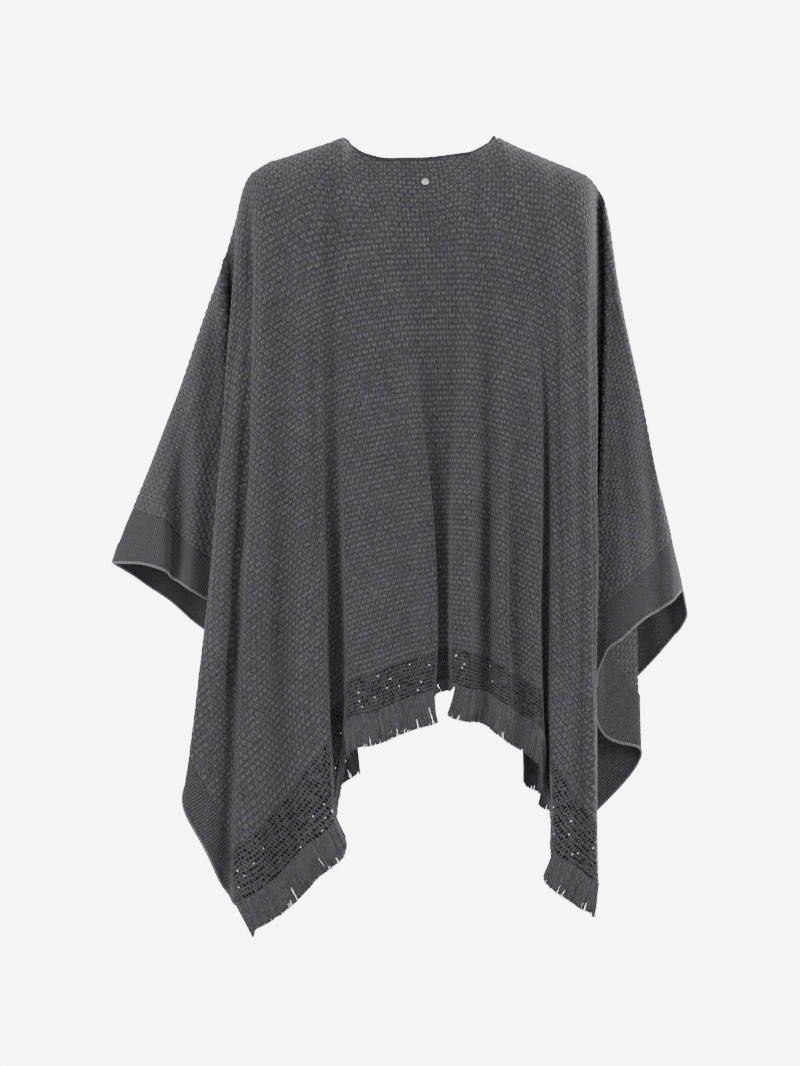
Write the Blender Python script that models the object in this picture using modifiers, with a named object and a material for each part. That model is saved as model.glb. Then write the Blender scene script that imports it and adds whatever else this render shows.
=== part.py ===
"""An open-front knitted poncho in its worn, hollow form, with no wearer.

The wearer's left is +X, the back is +Y and up is +Z. The origin is between the shoulders, level
with the shoulder line, where the wearer's neck and shoulders hold the cloth. Sizes are in
millimetres and become metres when a mesh is made.

Every panel is one wall of knit drawn through its fold lines: the crests, furrows and tucks that
run from the shoulder and arm line down to the hem or the side edge. Each fold line is a row of
a table, and a smooth curve across the lines gives the cloth between them.
"""

import math
import random
from collections import namedtuple

import bmesh
import bpy
import numpy as np
from mathutils import Vector

MM = 0.001

# The knit and its edges
CLOTH = 2.4
SHOULDER_SEAM = 0.5
TIGHTEST_TURN = 6.0
BINDING = 5.6
BINDING_GAP = 0.5
NECK_HALF = 88.0

# How finely the walls are drawn
BACK_ROWS = 14
FRONT_ROWS = 13
BACK_STEP = 27.0
FRONT_STEP = 30.0
TOP_CROWDING = 1.35

# The fringe
FRINGE_PITCH = 14.0
FRINGE_SLIT = 2.4
FRINGE_THICK = 1.6
FRINGE_GAP = 0.7
FRINGE_BEND_GAP = 0.7
FRINGE_ROOT = 3.5
FRINGE_LENGTH = 35.0
FRINGE_HANG = 0.5
FRINGE_SWAY = 0.03
FRINGE_TAPER = 0.88
FRINGE_UNEVEN = 1.5
FRINGE_WIDEST_SLIT = 0.12
FRINGE_EASING = 3

# The nape stud
STUD_RADIUS = 4.5
STUD_HEIGHT = 2.2
STUD_RIM = 0.5
STUD_GAP = 0.8
STUD_FACETS = 16
STUD_X = -8.4
STUD_Z = -41.0

# One fold line from top to bottom. x and y are given at the top, at one third and two thirds of
# the drop, and at the hem. turn is the drop over which the cloth rounds the shoulder or the arm.
Fold = namedtuple("Fold", "name x_top y_top z_top turn x_yoke y_yoke x_waist y_waist x_hem y_hem z_hem")

# The back, from the wearer's left wrist to the right wrist
BACK_FOLDS = [
    Fold("wrist_l", 363, -10, -473, 14, 366, -5, 368, -4, 371, -3, -496),
    Fold("sleeve_l1", 355, -9, -452, 30, 353, 8, 352, 16, 351, 22, -496),
    Fold("sleeve_l2", 334, -8, -402, 45, 333, 20, 332, 30, 332, 36, -497),
    Fold("sleeve_l3", 308, -6, -337, 50, 307, 28, 306, 40, 305, 48, -505),
    Fold("sleeve_l4", 287, -5, -281, 50, 289, 20, 291, 18, 295, 28, -515),
    Fold("sleeve_l5", 267, -4, -223, 50, 268, 30, 271, 42, 274, 50, -528),
    Fold("sleeve_l6", 251, -3, -178, 50, 250, 28, 251, 36, 253, 44, -540),
    Fold("tuck_l_out", 237, -2, -136, 60, 229, 30, 223, 36, 221, 34, -557),
    Fold("tuck_l_turn", 227, 0, -106, 60, 236, 14, 244, 8, 260, 4, -619),
    Fold("tuck_l_in", 220, 4, -80, 60, 202, 44, 185, 38, 176, 30, -704),
    Fold("side_l", 215, 12, -61, 90, 232, 72, 251, 100, 281, 104, -780),
    Fold("flank_l", 211, 12, -46, 110, 219, 88, 236, 114, 256, 116, -832),
    Fold("furrow_l1", 202, 8, -28, 120, 205, 90, 219, 98, 230, 100, -886),
    Fold("corner_l", 193, 8, -21, 120, 195, 106, 205, 120, 218, 122, -902),
    Fold("ridge_l1", 181, 8, -13, 120, 185, 112, 189, 124, 193, 124, -889),
    Fold("furrow_l2", 164, 8, -8, 125, 164, 108, 165, 106, 167, 106, -870),
    Fold("ridge_l2", 141, 8, 0, 130, 139, 118, 137, 122, 134, 124, -834),
    Fold("pleat_l_edge", 119, 8, 7, 130, 119, 114, 115, 121, 103, 122, -808),
    Fold("pleat_l_in", 110, 8, 10, 130, 111, 104, 108, 98, 99, 98, -768),
    Fold("pleat_l_in2", 102, 8, 13, 130, 103, 103, 95, 97, 91, 98, -718),
    Fold("pleat_l_edge2", 94, 8, 16, 130, 93, 112, 86, 119, 84, 121, -684),
    Fold("ridge_l3", 80, 28, 4, 120, 68, 116, 60, 124, 55, 126, -675),
    Fold("furrow_l3", 63, 44, -8, 110, 41, 108, 23, 112, 13, 114, -658),
    Fold("yoke_fold_l", 43, 54, -14, 100, 15, 112, -11, 122, -14, 124, -649),
    Fold("yoke_in_l", 17, 58, -15, 100, 3, 100, -20, 103, -22, 103, -641),
    Fold("yoke_in_r", -16, 58, -14, 100, -37, 99, -35, 102, -35, 102, -636),
    Fold("yoke_fold_r", -34, 54, -11, 100, -52, 113, -44, 122, -43, 123, -640),
    Fold("ridge_r3", -50, 46, -8, 105, -64, 118, -59, 126, -56, 126, -646),
    Fold("furrow_r3", -63, 36, -5, 110, -79, 108, -80, 102, -79, 100, -650),
    Fold("ridge_r2", -74, 28, 1, 115, -98, 118, -100, 124, -104, 126, -666),
    Fold("furrow_r2", -85, 18, 8, 120, -113, 110, -116, 108, -119, 107, -677),
    Fold("pleat_r_edge2", -97, 8, 16, 130, -139, 111, -142, 119, -146, 121, -697),
    Fold("pleat_r_in", -107, 8, 11, 130, -148, 98, -151, 93, -154, 92, -767),
    Fold("pleat_r_edge", -118, 8, 6, 130, -157, 109, -161, 119, -163, 121, -841),
    Fold("ridge_r1", -143, 8, -4, 130, -172, 118, -181, 124, -178, 124, -853),
    Fold("furrow_r1", -165, 8, -13, 125, -190, 106, -195, 112, -195, 114, -865),
    Fold("flank_r", -184, 8, -21, 120, -203, 104, -206, 116, -206, 118, -874),
    Fold("side_r", -202, 10, -29, 110, -213, 84, -212, 100, -214, 104, -880),
    Fold("tuck_r_in", -212, 4, -38, 80, -206, 38, -184, 16, -177, 10, -841),
    Fold("tuck_r_turn", -219, 0, -48, 60, -237, 10, -259, -2, -269, -6, -730),
    Fold("tuck_r_out", -225, -2, -60, 60, -224, 38, -215, 50, -211, 54, -648),
    Fold("sleeve_r6", -231, -3, -88, 55, -232, 36, -227, 46, -221, 54, -612),
    Fold("sleeve_r5", -238, -3, -140, 50, -242, 36, -244, 46, -244, 52, -587),
    Fold("sleeve_r4", -247, -4, -191, 50, -259, 34, -266, 42, -269, 48, -565),
    Fold("sleeve_r3", -260, -5, -253, 50, -275, 26, -283, 30, -287, 36, -554),
    Fold("sleeve_r2", -277, -6, -346, 45, -290, 28, -297, 36, -301, 42, -545),
    Fold("sleeve_r1", -297, -8, -426, 35, -304, 16, -309, 22, -311, 28, -536),
    Fold("wrist_r", -314, -10, -504, 14, -316, -5, -317, -4, -319, -3, -529),
]

# The left front, from its front edge to the left wrist
LEFT_FRONT_FOLDS = [
    Fold("edge_l", 94, 8, 15, 170, 93, -112, 87, -118, 76, -120, -712),
    Fold("front_ridge_l1", 105, 6, 12, 165, 110, -124, 106, -132, 97, -136, -730),
    Fold("front_furrow_l1", 117, 5, 8, 160, 127, -112, 129, -106, 121, -98, -755),
    Fold("front_ridge_l2", 130, 4, 4, 155, 143, -122, 148, -128, 142, -130, -782),
    Fold("front_pleat_l", 143, 3, -1, 150, 155, -102, 160, -88, 157, -76, -808),
    Fold("front_ridge_l3", 158, 2, -5, 145, 167, -116, 173, -122, 172, -124, -835),
    Fold("front_corner_l", 176, 1, -11, 140, 185, -106, 190, -112, 188, -114, -860),
    Fold("front_flank_l", 193, 0, -20, 125, 205, -96, 214, -106, 211, -108, -822),
    Fold("front_side_l", 207, 0, -34, 100, 224, -80, 236, -94, 233, -98, -781),
    Fold("front_tuck_l_in", 215, -4, -60, 60, 202, -42, 188, -58, 183, -62, -745),
    Fold("front_tuck_l_turn", 223, -4, -88, 50, 230, -14, 237, -18, 243, -18, -688),
    Fold("front_tuck_l_out", 229, -4, -109, 50, 224, -32, 219, -42, 221, -46, -604),
    Fold("front_sleeve_l5", 237, -4, -136, 50, 243, -34, 248, -42, 254, -46, -582),
    Fold("front_sleeve_l4", 253, -4, -181, 45, 257, -36, 263, -44, 273, -50, -568),
    Fold("front_sleeve_l3", 274, -5, -241, 45, 281, -32, 290, -38, 301, -44, -543),
    Fold("front_sleeve_l2", 304, -6, -329, 40, 310, -30, 317, -36, 326, -40, -526),
    Fold("front_sleeve_l1", 337, -8, -408, 30, 340, -24, 344, -28, 347, -30, -511),
    Fold("front_wrist_l", 363, -10, -473, 14, 366, -15, 368, -16, 370, -17, -497),
]

# The right front, from its front edge to the right wrist
RIGHT_FRONT_FOLDS = [
    Fold("edge_r", -94, 8, 16, 170, -98, -112, -110, -118, -129, -120, -722),
    Fold("front_ridge_r1", -105, 6, 11, 165, -115, -124, -127, -132, -146, -136, -740),
    Fold("front_furrow_r1", -116, 5, 7, 160, -131, -112, -145, -106, -160, -98, -762),
    Fold("front_ridge_r2", -128, 4, 2, 155, -146, -122, -159, -128, -172, -130, -785),
    Fold("front_pleat_r", -140, 3, -3, 150, -157, -104, -169, -92, -181, -84, -805),
    Fold("front_ridge_r3", -153, 2, -8, 145, -169, -116, -179, -122, -190, -124, -822),
    Fold("front_corner_r", -167, 1, -14, 140, -183, -106, -193, -112, -200, -114, -834),
    Fold("front_flank_r", -182, 0, -20, 125, -196, -96, -203, -106, -206, -108, -799),
    Fold("front_side_r", -196, 0, -26, 100, -207, -80, -208, -94, -207, -98, -760),
    Fold("front_tuck_r_in", -208, -4, -35, 60, -199, -42, -184, -54, -182, -56, -721),
    Fold("front_tuck_r_turn", -217, -4, -46, 50, -231, -16, -244, -22, -243, -24, -690),
    Fold("front_tuck_r_out", -224, -4, -58, 50, -223, -34, -221, -44, -225, -48, -661),
    Fold("front_sleeve_r5", -231, -4, -88, 50, -237, -36, -244, -44, -260, -50, -641),
    Fold("front_sleeve_r4", -241, -4, -155, 45, -251, -36, -262, -44, -278, -50, -623),
    Fold("front_sleeve_r3", -254, -5, -227, 45, -267, -32, -278, -38, -295, -44, -604),
    Fold("front_sleeve_r2", -272, -6, -319, 40, -285, -30, -296, -36, -310, -40, -586),
    Fold("front_sleeve_r1", -292, -8, -409, 35, -302, -24, -309, -28, -321, -30, -572),
    Fold("front_curl_r", -308, -9, -473, 25, -315, -18, -322, -22, -326, -24, -559),
    Fold("front_wrist_r", -314, -10, -504, 14, -317, -15, -320, -16, -323, -17, -540),
]

# The stretches of hem that carry fringe: the panel and the fold lines at their ends. The back's
# fringe is in three, since the hem turns steeply up inside the two pleats and carries none there.
FringedHem = namedtuple("FringedHem", "name panel start end")
FRINGED_HEMS = [
    FringedHem("fringe_back_left", "back_panel", "corner_l", "pleat_l_edge"),
    FringedHem("fringe_back_centre", "back_panel", "pleat_l_edge2", "pleat_r_edge2"),
    FringedHem("fringe_back_right", "back_panel", "pleat_r_edge", "side_r"),
    FringedHem("fringe_front_left", "front_panel_left", "edge_l", "front_corner_l"),
    FringedHem("fringe_front_right", "front_panel_right", "edge_r", "front_corner_r"),
]

# Where a side edge meets a hem. At the right of the back, that corner is the fold side_r itself.
CORNERS = ("corner_l", "side_r", "front_corner_l", "front_corner_r")

# Neckline folds stand against the neck, where the shoulder folds lie flat over the ridge
RIDGE_DEPTH = 8.0
NECK_DEPTH = 38.0


def clear_scene():
    for thing in list(bpy.data.objects):
        bpy.data.objects.remove(thing, do_unlink=True)


def material(name, colour, roughness, metallic=0.0):
    made = bpy.data.materials.new(name)
    made.use_nodes = True
    shader = made.node_tree.nodes["Principled BSDF"]
    shader.inputs["Base Color"].default_value = (*colour, 1.0)
    shader.inputs["Roughness"].default_value = roughness
    shader.inputs["Metallic"].default_value = metallic
    return made


def unit(vectors):
    return vectors / np.maximum(np.linalg.norm(vectors, axis=-1, keepdims=True), 1e-9)


def through_thirds(t, top, yoke, waist, hem):
    """The cubic that passes through four values, at 0, 1/3, 2/3 and 1."""
    a = (1 - 3 * t) * (1 - 1.5 * t) * (1 - t)
    b = 9 * t * (1 - 1.5 * t) * (1 - t)
    c = -4.5 * t * (1 - 3 * t) * (1 - t)
    d = t * (1 - 3 * t) * (1 - 1.5 * t)
    return a * top + b * yoke + c * waist + d * hem


def rounding(share, stand):
    """From 0 at the top to 1 where the cloth hangs: a quarter ellipse, or a sine on a standing neck."""
    q = np.minimum(share, 1.0)
    lying = np.sqrt(1 - (1 - q) ** 2)
    standing = np.sin(0.5 * math.pi * q)
    return (1 - stand) * lying + stand * standing


def fold_points(folds, drops, seam):
    """Points of all fold lines at each drop from 0 to 1, as an array of rows, folds and x, y, z."""
    f = {key: np.array([getattr(fold, key) for fold in folds], float) for key in Fold._fields[1:]}
    t = np.asarray(drops)[:, None]
    fall = f["z_top"] - f["z_hem"]
    stand = np.clip((f["y_top"] - RIDGE_DEPTH) / (NECK_DEPTH - RIDGE_DEPTH), 0, 1)
    x = through_thirds(t, f["x_top"], f["x_yoke"], f["x_waist"], f["x_hem"])
    hang = through_thirds(t, f["y_yoke"], f["y_yoke"], f["y_waist"], f["y_hem"])
    start = f["y_top"] + seam
    y = start + (hang - start) * rounding(fall * t / f["turn"], stand)
    z = f["z_top"] - fall * t
    return np.stack([x, y, z], axis=2)


def across(points, counts, corners):
    """A smooth curve through each row's points, cut counts[i] times between two folds.

    Seen from above, the curve runs along the bisector at each fold, and no fold turns tighter
    than TIGHTEST_TURN, so that the wall never meets itself in a tuck. Heights run on smoothly
    from strip to strip, but for a break at each of the corners, where the side edge meets the hem.
    """
    step = np.diff(points, axis=1)
    flat = step[..., :2]
    length = np.maximum(np.linalg.norm(flat, axis=2, keepdims=True), 1e-3)
    heading = flat / length
    before = np.concatenate([heading[:, :1], heading], axis=1)
    after = np.concatenate([heading, heading[:, -1:]], axis=1)
    tangent = unit(before + after)
    sharp = 0.5 * np.linalg.norm(before - after, axis=2, keepdims=True)
    slope = step[..., 2:] / length
    shared = (slope[:, :-1] * length[:, 1:] + slope[:, 1:] * length[:, :-1]) / (length[:, 1:] + length[:, :-1])
    slope_in = np.concatenate([slope[:, :1], shared, slope[:, -1:]], axis=1)
    slope_out = slope_in.copy()
    for corner in corners:
        slope_in[:, corner] = slope[:, corner - 1]
        slope_out[:, corner] = slope[:, corner]
    columns = []
    for i, count in enumerate(counts):
        size = length[:, i]
        tight = np.minimum(size, np.sqrt(4 * TIGHTEST_TURN * size))
        leave = tangent[:, i] * (size + (tight - size) * sharp[:, i])
        arrive = tangent[:, i + 1] * (size + (tight - size) * sharp[:, i + 1])
        leave = np.concatenate([leave, slope_out[:, i] * size], axis=1)
        arrive = np.concatenate([arrive, slope_in[:, i + 1] * size], axis=1)
        for k in range(count):
            u = 0.5 - 0.5 * math.cos(math.pi * k / count)
            columns.append(
                (2 * u**3 - 3 * u**2 + 1) * points[:, i]
                + (u**3 - 2 * u**2 + u) * leave
                + (3 * u**2 - 2 * u**3) * points[:, i + 1]
                + (u**3 - u**2) * arrive
            )
    columns.append(points[:, -1])
    return np.stack(columns, axis=1)


def fold_counts(points, step):
    """How many strips of cloth lie between neighbouring folds, for strips about one step wide."""
    widest = np.linalg.norm(np.diff(points, axis=1), axis=2).max(axis=0)
    return [max(1, round(width / step)) for width in widest]


def cloth_grid(folds, rows, step, seam):
    """The middle surface of a panel, as rows and columns of points, and each fold's column."""
    drops = (np.arange(rows + 1) / rows) ** TOP_CROWDING
    points = fold_points(folds, drops, seam)
    counts = fold_counts(points, step)
    corners = [k for k, fold in enumerate(folds) if fold.name in CORNERS]
    starts = np.concatenate([[0], np.cumsum(counts)])
    places = {fold.name: int(k) for fold, k in zip(folds, starts)}
    return across(points, counts, corners), places


def mesh_object(name, vertices, faces, finish, collection):
    mesh = bpy.data.meshes.new(name)
    mesh.from_pydata([tuple(v) for v in vertices], [], faces)
    mesh.materials.append(finish)
    made = bpy.data.objects.new(name, mesh)
    collection.objects.link(made)
    return made


def panel(name, grid, outer_first, finish, collection):
    """A wall of cloth: the open surface, made solid to both sides of its middle."""
    rows, columns = grid.shape[:2]
    faces = []
    for r in range(rows - 1):
        for c in range(columns - 1):
            a = r * columns + c
            b, d, e = a + 1, a + columns, a + columns + 1
            falls_right = np.linalg.norm(grid[r, c] - grid[r + 1, c + 1])
            falls_left = np.linalg.norm(grid[r, c + 1] - grid[r + 1, c])
            pair = [(a, b, e), (a, e, d)] if falls_right < falls_left else [(a, b, d), (b, e, d)]
            faces += pair if outer_first else [triangle[::-1] for triangle in pair]
    made = mesh_object(name, grid.reshape(-1, 3) * MM, faces, finish, collection)
    wall = made.modifiers.new("knit", "SOLIDIFY")
    wall.thickness = CLOTH * MM
    wall.offset = 0.0
    wall.use_quality_normals = True
    made.data.shade_smooth()
    return made


def edge_frame(edge, inner):
    """Directions at each point of a cloth edge: square to the cloth, and out of it past the edge."""
    steps = unit(np.diff(edge, axis=0))
    square = unit(np.cross(edge[1:] - inner[:-1], edge[:-1] - inner[1:]))
    along = unit(np.concatenate([steps[:1], steps]) + np.concatenate([steps, steps[-1:]]))
    face = unit(np.concatenate([square[:1], square]) + np.concatenate([square, square[-1:]]))
    out = unit(np.cross(along, face))
    return face, out * np.sign(np.sum(out * (edge - inner), axis=1))[:, None]


def fringe(name, grid, start, end, seed, finish, collection):
    """A narrow strip along the hem, with a lock of yarn pulled down out of each length of it."""
    hem = grid[-1, start : end + 1]
    face, out = edge_frame(hem, grid[-2, start : end + 1])
    plumb = np.array([0.0, 0.0, -1.0])
    hang = unit(plumb - face * (face @ plumb)[:, None])
    steps = unit(np.diff(hem[:, :2], axis=0))
    straight = []
    for k in range(len(hem)):
        near = steps[max(0, k - 2) : k + 2]
        straight.append(max(0.0, (near @ near.T).min()) ** 2)
    gap = FRINGE_GAP + FRINGE_BEND_GAP * (1 - np.array(straight)[:, None])
    for _ in range(FRINGE_EASING):
        padded = [straight[0], *straight, straight[-1]]
        straight = [min(b, 0.25 * a + 0.5 * b + 0.25 * c) for a, b, c in zip(padded, straight, padded[2:])]
    lean = (1 - FRINGE_HANG) * np.array(straight)[:, None]
    fall = unit(lean * out + (1 - lean) * hang)
    lengths = np.linalg.norm(np.diff(hem, axis=0), axis=1)
    places = [0.0]
    locks = []
    for k, length in enumerate(lengths):
        count = max(1, round(length / FRINGE_PITCH))
        slit = min(0.5 * FRINGE_SLIT / length, FRINGE_WIDEST_SLIT / count)
        for j in range(count):
            locks.append(len(places))
            places += [k + j / count + slit, k + (j + 1) / count - slit]
        places.append(k + 1.0)
    place = np.array(places)
    corner = np.arange(len(hem))

    def spread(values):
        return np.stack([np.interp(place, corner, values[:, k]) for k in range(3)], axis=1)

    edge = spread(hem)
    down = spread(fall)
    side = spread(face) * 0.5 * FRINGE_THICK
    upper = edge + spread(out * gap)
    lower = upper + down * FRINGE_ROOT
    frame = bmesh.new()
    rings = []
    for k in range(len(place)):
        ring = [upper[k] - side[k], upper[k] + side[k], lower[k] + side[k], lower[k] - side[k]]
        rings.append([frame.verts.new(Vector(v) * MM) for v in ring])
    roots = []
    for k in range(len(place) - 1):
        for j in range(4):
            made = frame.faces.new([rings[k][j], rings[k][j - 3], rings[k + 1][j - 3], rings[k + 1][j]])
            if j == 2 and k in locks:
                roots.append((made, k))
    frame.faces.new(rings[0])
    frame.faces.new(rings[-1][::-1])
    dice = random.Random(seed)
    for root, k in roots:
        direction = Vector(unit(down[k] + down[k + 1]))
        sway = Vector(unit(edge[k + 1] - edge[k])) * dice.uniform(-1, 1) * FRINGE_SWAY
        reach = (FRINGE_LENGTH + dice.uniform(-FRINGE_UNEVEN, FRINGE_UNEVEN)) * MM
        pulled = bmesh.ops.extrude_discrete_faces(frame, faces=[root])["faces"][0]
        middle = pulled.calc_center_median()
        for tip in pulled.verts:
            tip.co = middle + (tip.co - middle) * FRINGE_TAPER + (direction + sway) * reach
    bmesh.ops.recalc_face_normals(frame, faces=frame.faces)
    mesh = bpy.data.meshes.new(name)
    frame.to_mesh(mesh)
    frame.free()
    mesh.materials.append(finish)
    made = bpy.data.objects.new(name, mesh)
    collection.objects.link(made)
    return made


def neck_binding(back, left, right, finish, collection):
    """A rolled band up the left front edge, round the back neck and down the right front edge."""
    off = 0.5 * BINDING + BINDING_GAP
    neckline = [k for k in range(back.shape[1]) if abs(back[0, k, 0]) < NECK_HALF]
    path = []
    for edge, inner in (
        (left[::-1, 0], left[::-1, 1]),
        (back[0, neckline], back[1, neckline]),
        (right[:, 0], right[:, 1]),
    ):
        path.append(edge + edge_frame(edge, inner)[1] * off)
    path = np.concatenate(path)
    curve = bpy.data.curves.new("neck_binding", "CURVE")
    curve.dimensions = "3D"
    curve.bevel_depth = 0.5 * BINDING * MM
    curve.bevel_resolution = 1
    curve.use_fill_caps = True
    spline = curve.splines.new("POLY")
    spline.points.add(len(path) - 1)
    for point, place in zip(spline.points, path):
        point.co = (*(place * MM), 1.0)
    curve.materials.append(finish)
    made = bpy.data.objects.new("neck_binding", curve)
    collection.objects.link(made)
    return made


def nape_stud(grid, finish, collection):
    """A small domed stud, turned from its profile and sewn on just below the back neck."""
    reach = np.hypot(grid[..., 0] - STUD_X, grid[..., 2] - STUD_Z)
    row, column = np.unravel_index(np.argmin(reach), reach.shape)
    over = grid[row, column + 1] - grid[row, column - 1]
    down = grid[row + 1, column] - grid[row - 1, column]
    face = Vector(np.cross(over, down)).normalized()
    if face.y < 0:
        face.negate()
    crown = STUD_HEIGHT - STUD_RIM
    profile = [(0.0, 0.0), (STUD_RADIUS, 0.0)]
    for angle in (0, 30, 60, 90):
        turn = math.radians(angle)
        profile.append((STUD_RADIUS * math.cos(turn), STUD_RIM + crown * math.sin(turn)))
    mesh = bpy.data.meshes.new("nape_stud")
    edges = [(k, k + 1) for k in range(len(profile) - 1)]
    mesh.from_pydata([(x * MM, 0.0, z * MM) for x, z in profile], edges, [])
    mesh.materials.append(finish)
    made = bpy.data.objects.new("nape_stud", mesh)
    turned = made.modifiers.new("turned", "SCREW")
    turned.steps = STUD_FACETS
    turned.render_steps = STUD_FACETS
    turned.use_merge_vertices = True
    turned.merge_threshold = 0.00001
    turned.use_normal_calculate = True
    spot = Vector((STUD_X, 0.0, STUD_Z))
    spot.y = grid[row, column][1] - (face.z * (STUD_Z - grid[row, column][2])) / face.y
    made.location = (spot + face * (0.5 * CLOTH + STUD_GAP)) * MM
    made.rotation_euler = Vector((0.0, 0.0, 1.0)).rotation_difference(face).to_euler()
    collection.objects.link(made)
    return made


def main():
    clear_scene()
    poncho = bpy.data.collections.new("knitted_poncho")
    bpy.context.scene.collection.children.link(poncho)
    knit = material("charcoal_marl_knit", (0.075, 0.077, 0.085), 0.9)
    yarn = material("charcoal_yarn", (0.065, 0.067, 0.075), 0.9)
    silver = material("polished_silver", (0.8, 0.8, 0.8), 0.2, 1.0)

    back = cloth_grid(BACK_FOLDS, BACK_ROWS, BACK_STEP, SHOULDER_SEAM)
    left = cloth_grid(LEFT_FRONT_FOLDS, FRONT_ROWS, FRONT_STEP, -SHOULDER_SEAM)
    right = cloth_grid(RIGHT_FRONT_FOLDS, FRONT_ROWS, FRONT_STEP, -SHOULDER_SEAM)
    panels = {"back_panel": back, "front_panel_left": left, "front_panel_right": right}
    for name, (grid, _) in panels.items():
        panel(name, grid, name == "front_panel_left", knit, poncho)

    for seed, hem in enumerate(FRINGED_HEMS):
        grid, places = panels[hem.panel]
        fringe(hem.name, grid, places[hem.start], places[hem.end], seed, yarn, poncho)

    neck_binding(back[0], left[0], right[0], yarn, poncho)
    nape_stud(back[0], silver, poncho)


main()
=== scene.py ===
# %% [markdown]
# # A charcoal knitted poncho, hanging in its worn form
#
# The poncho is one wide rectangle of knit for the back and two narrower ones for the fronts,
# joined along the shoulders and arms. It is knitted in a staggered pattern of small round bumps,
# with ribbed borders down the side edges, a selvedge coloured pale as a painted highlight, a band of
# openwork with small stones above each hem, and a thick yarn fringe cut straight. It hangs as if
# worn, with nobody inside.
#
# The maker's drawing of the folds is turned into a fine surface first. Then the knit's own rows and
# wales are found on that surface, so that each bump, rib, hole and strand follows the cloth.

import math
import random
from collections import namedtuple

import bpy
import numpy as np
from mathutils import Matrix, Vector


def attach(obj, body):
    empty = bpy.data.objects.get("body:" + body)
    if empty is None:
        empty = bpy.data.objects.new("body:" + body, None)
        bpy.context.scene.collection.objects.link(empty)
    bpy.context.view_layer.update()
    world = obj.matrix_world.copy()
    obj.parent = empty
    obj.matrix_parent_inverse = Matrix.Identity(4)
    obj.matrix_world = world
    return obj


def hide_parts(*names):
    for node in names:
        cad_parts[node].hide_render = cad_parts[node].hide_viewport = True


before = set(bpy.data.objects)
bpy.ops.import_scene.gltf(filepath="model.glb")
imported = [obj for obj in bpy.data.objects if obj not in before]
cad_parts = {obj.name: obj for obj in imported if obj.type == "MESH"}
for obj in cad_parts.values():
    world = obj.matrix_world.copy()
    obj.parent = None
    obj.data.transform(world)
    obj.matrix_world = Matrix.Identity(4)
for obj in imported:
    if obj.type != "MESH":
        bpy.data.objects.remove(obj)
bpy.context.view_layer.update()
print("nodes:", ", ".join(sorted(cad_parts)))
MM = 0.001

# %% [markdown]
# ## Fold lines
#
# Each fold line runs down the cloth from the shoulder and arm line to the hem or the side edge.
# The tables hold the same lines as the poncho's solid parts, in millimetres: x and y at the top, at
# one third and two thirds of the drop and at the hem, the height at both ends, and the drop over
# which the cloth rounds the shoulder or the arm. Crests, furrows and tucks all come from them.

# %% Fold tables
Fold = namedtuple("Fold", "name x_top y_top z_top turn x_yoke y_yoke x_waist y_waist x_hem y_hem z_hem")

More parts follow.
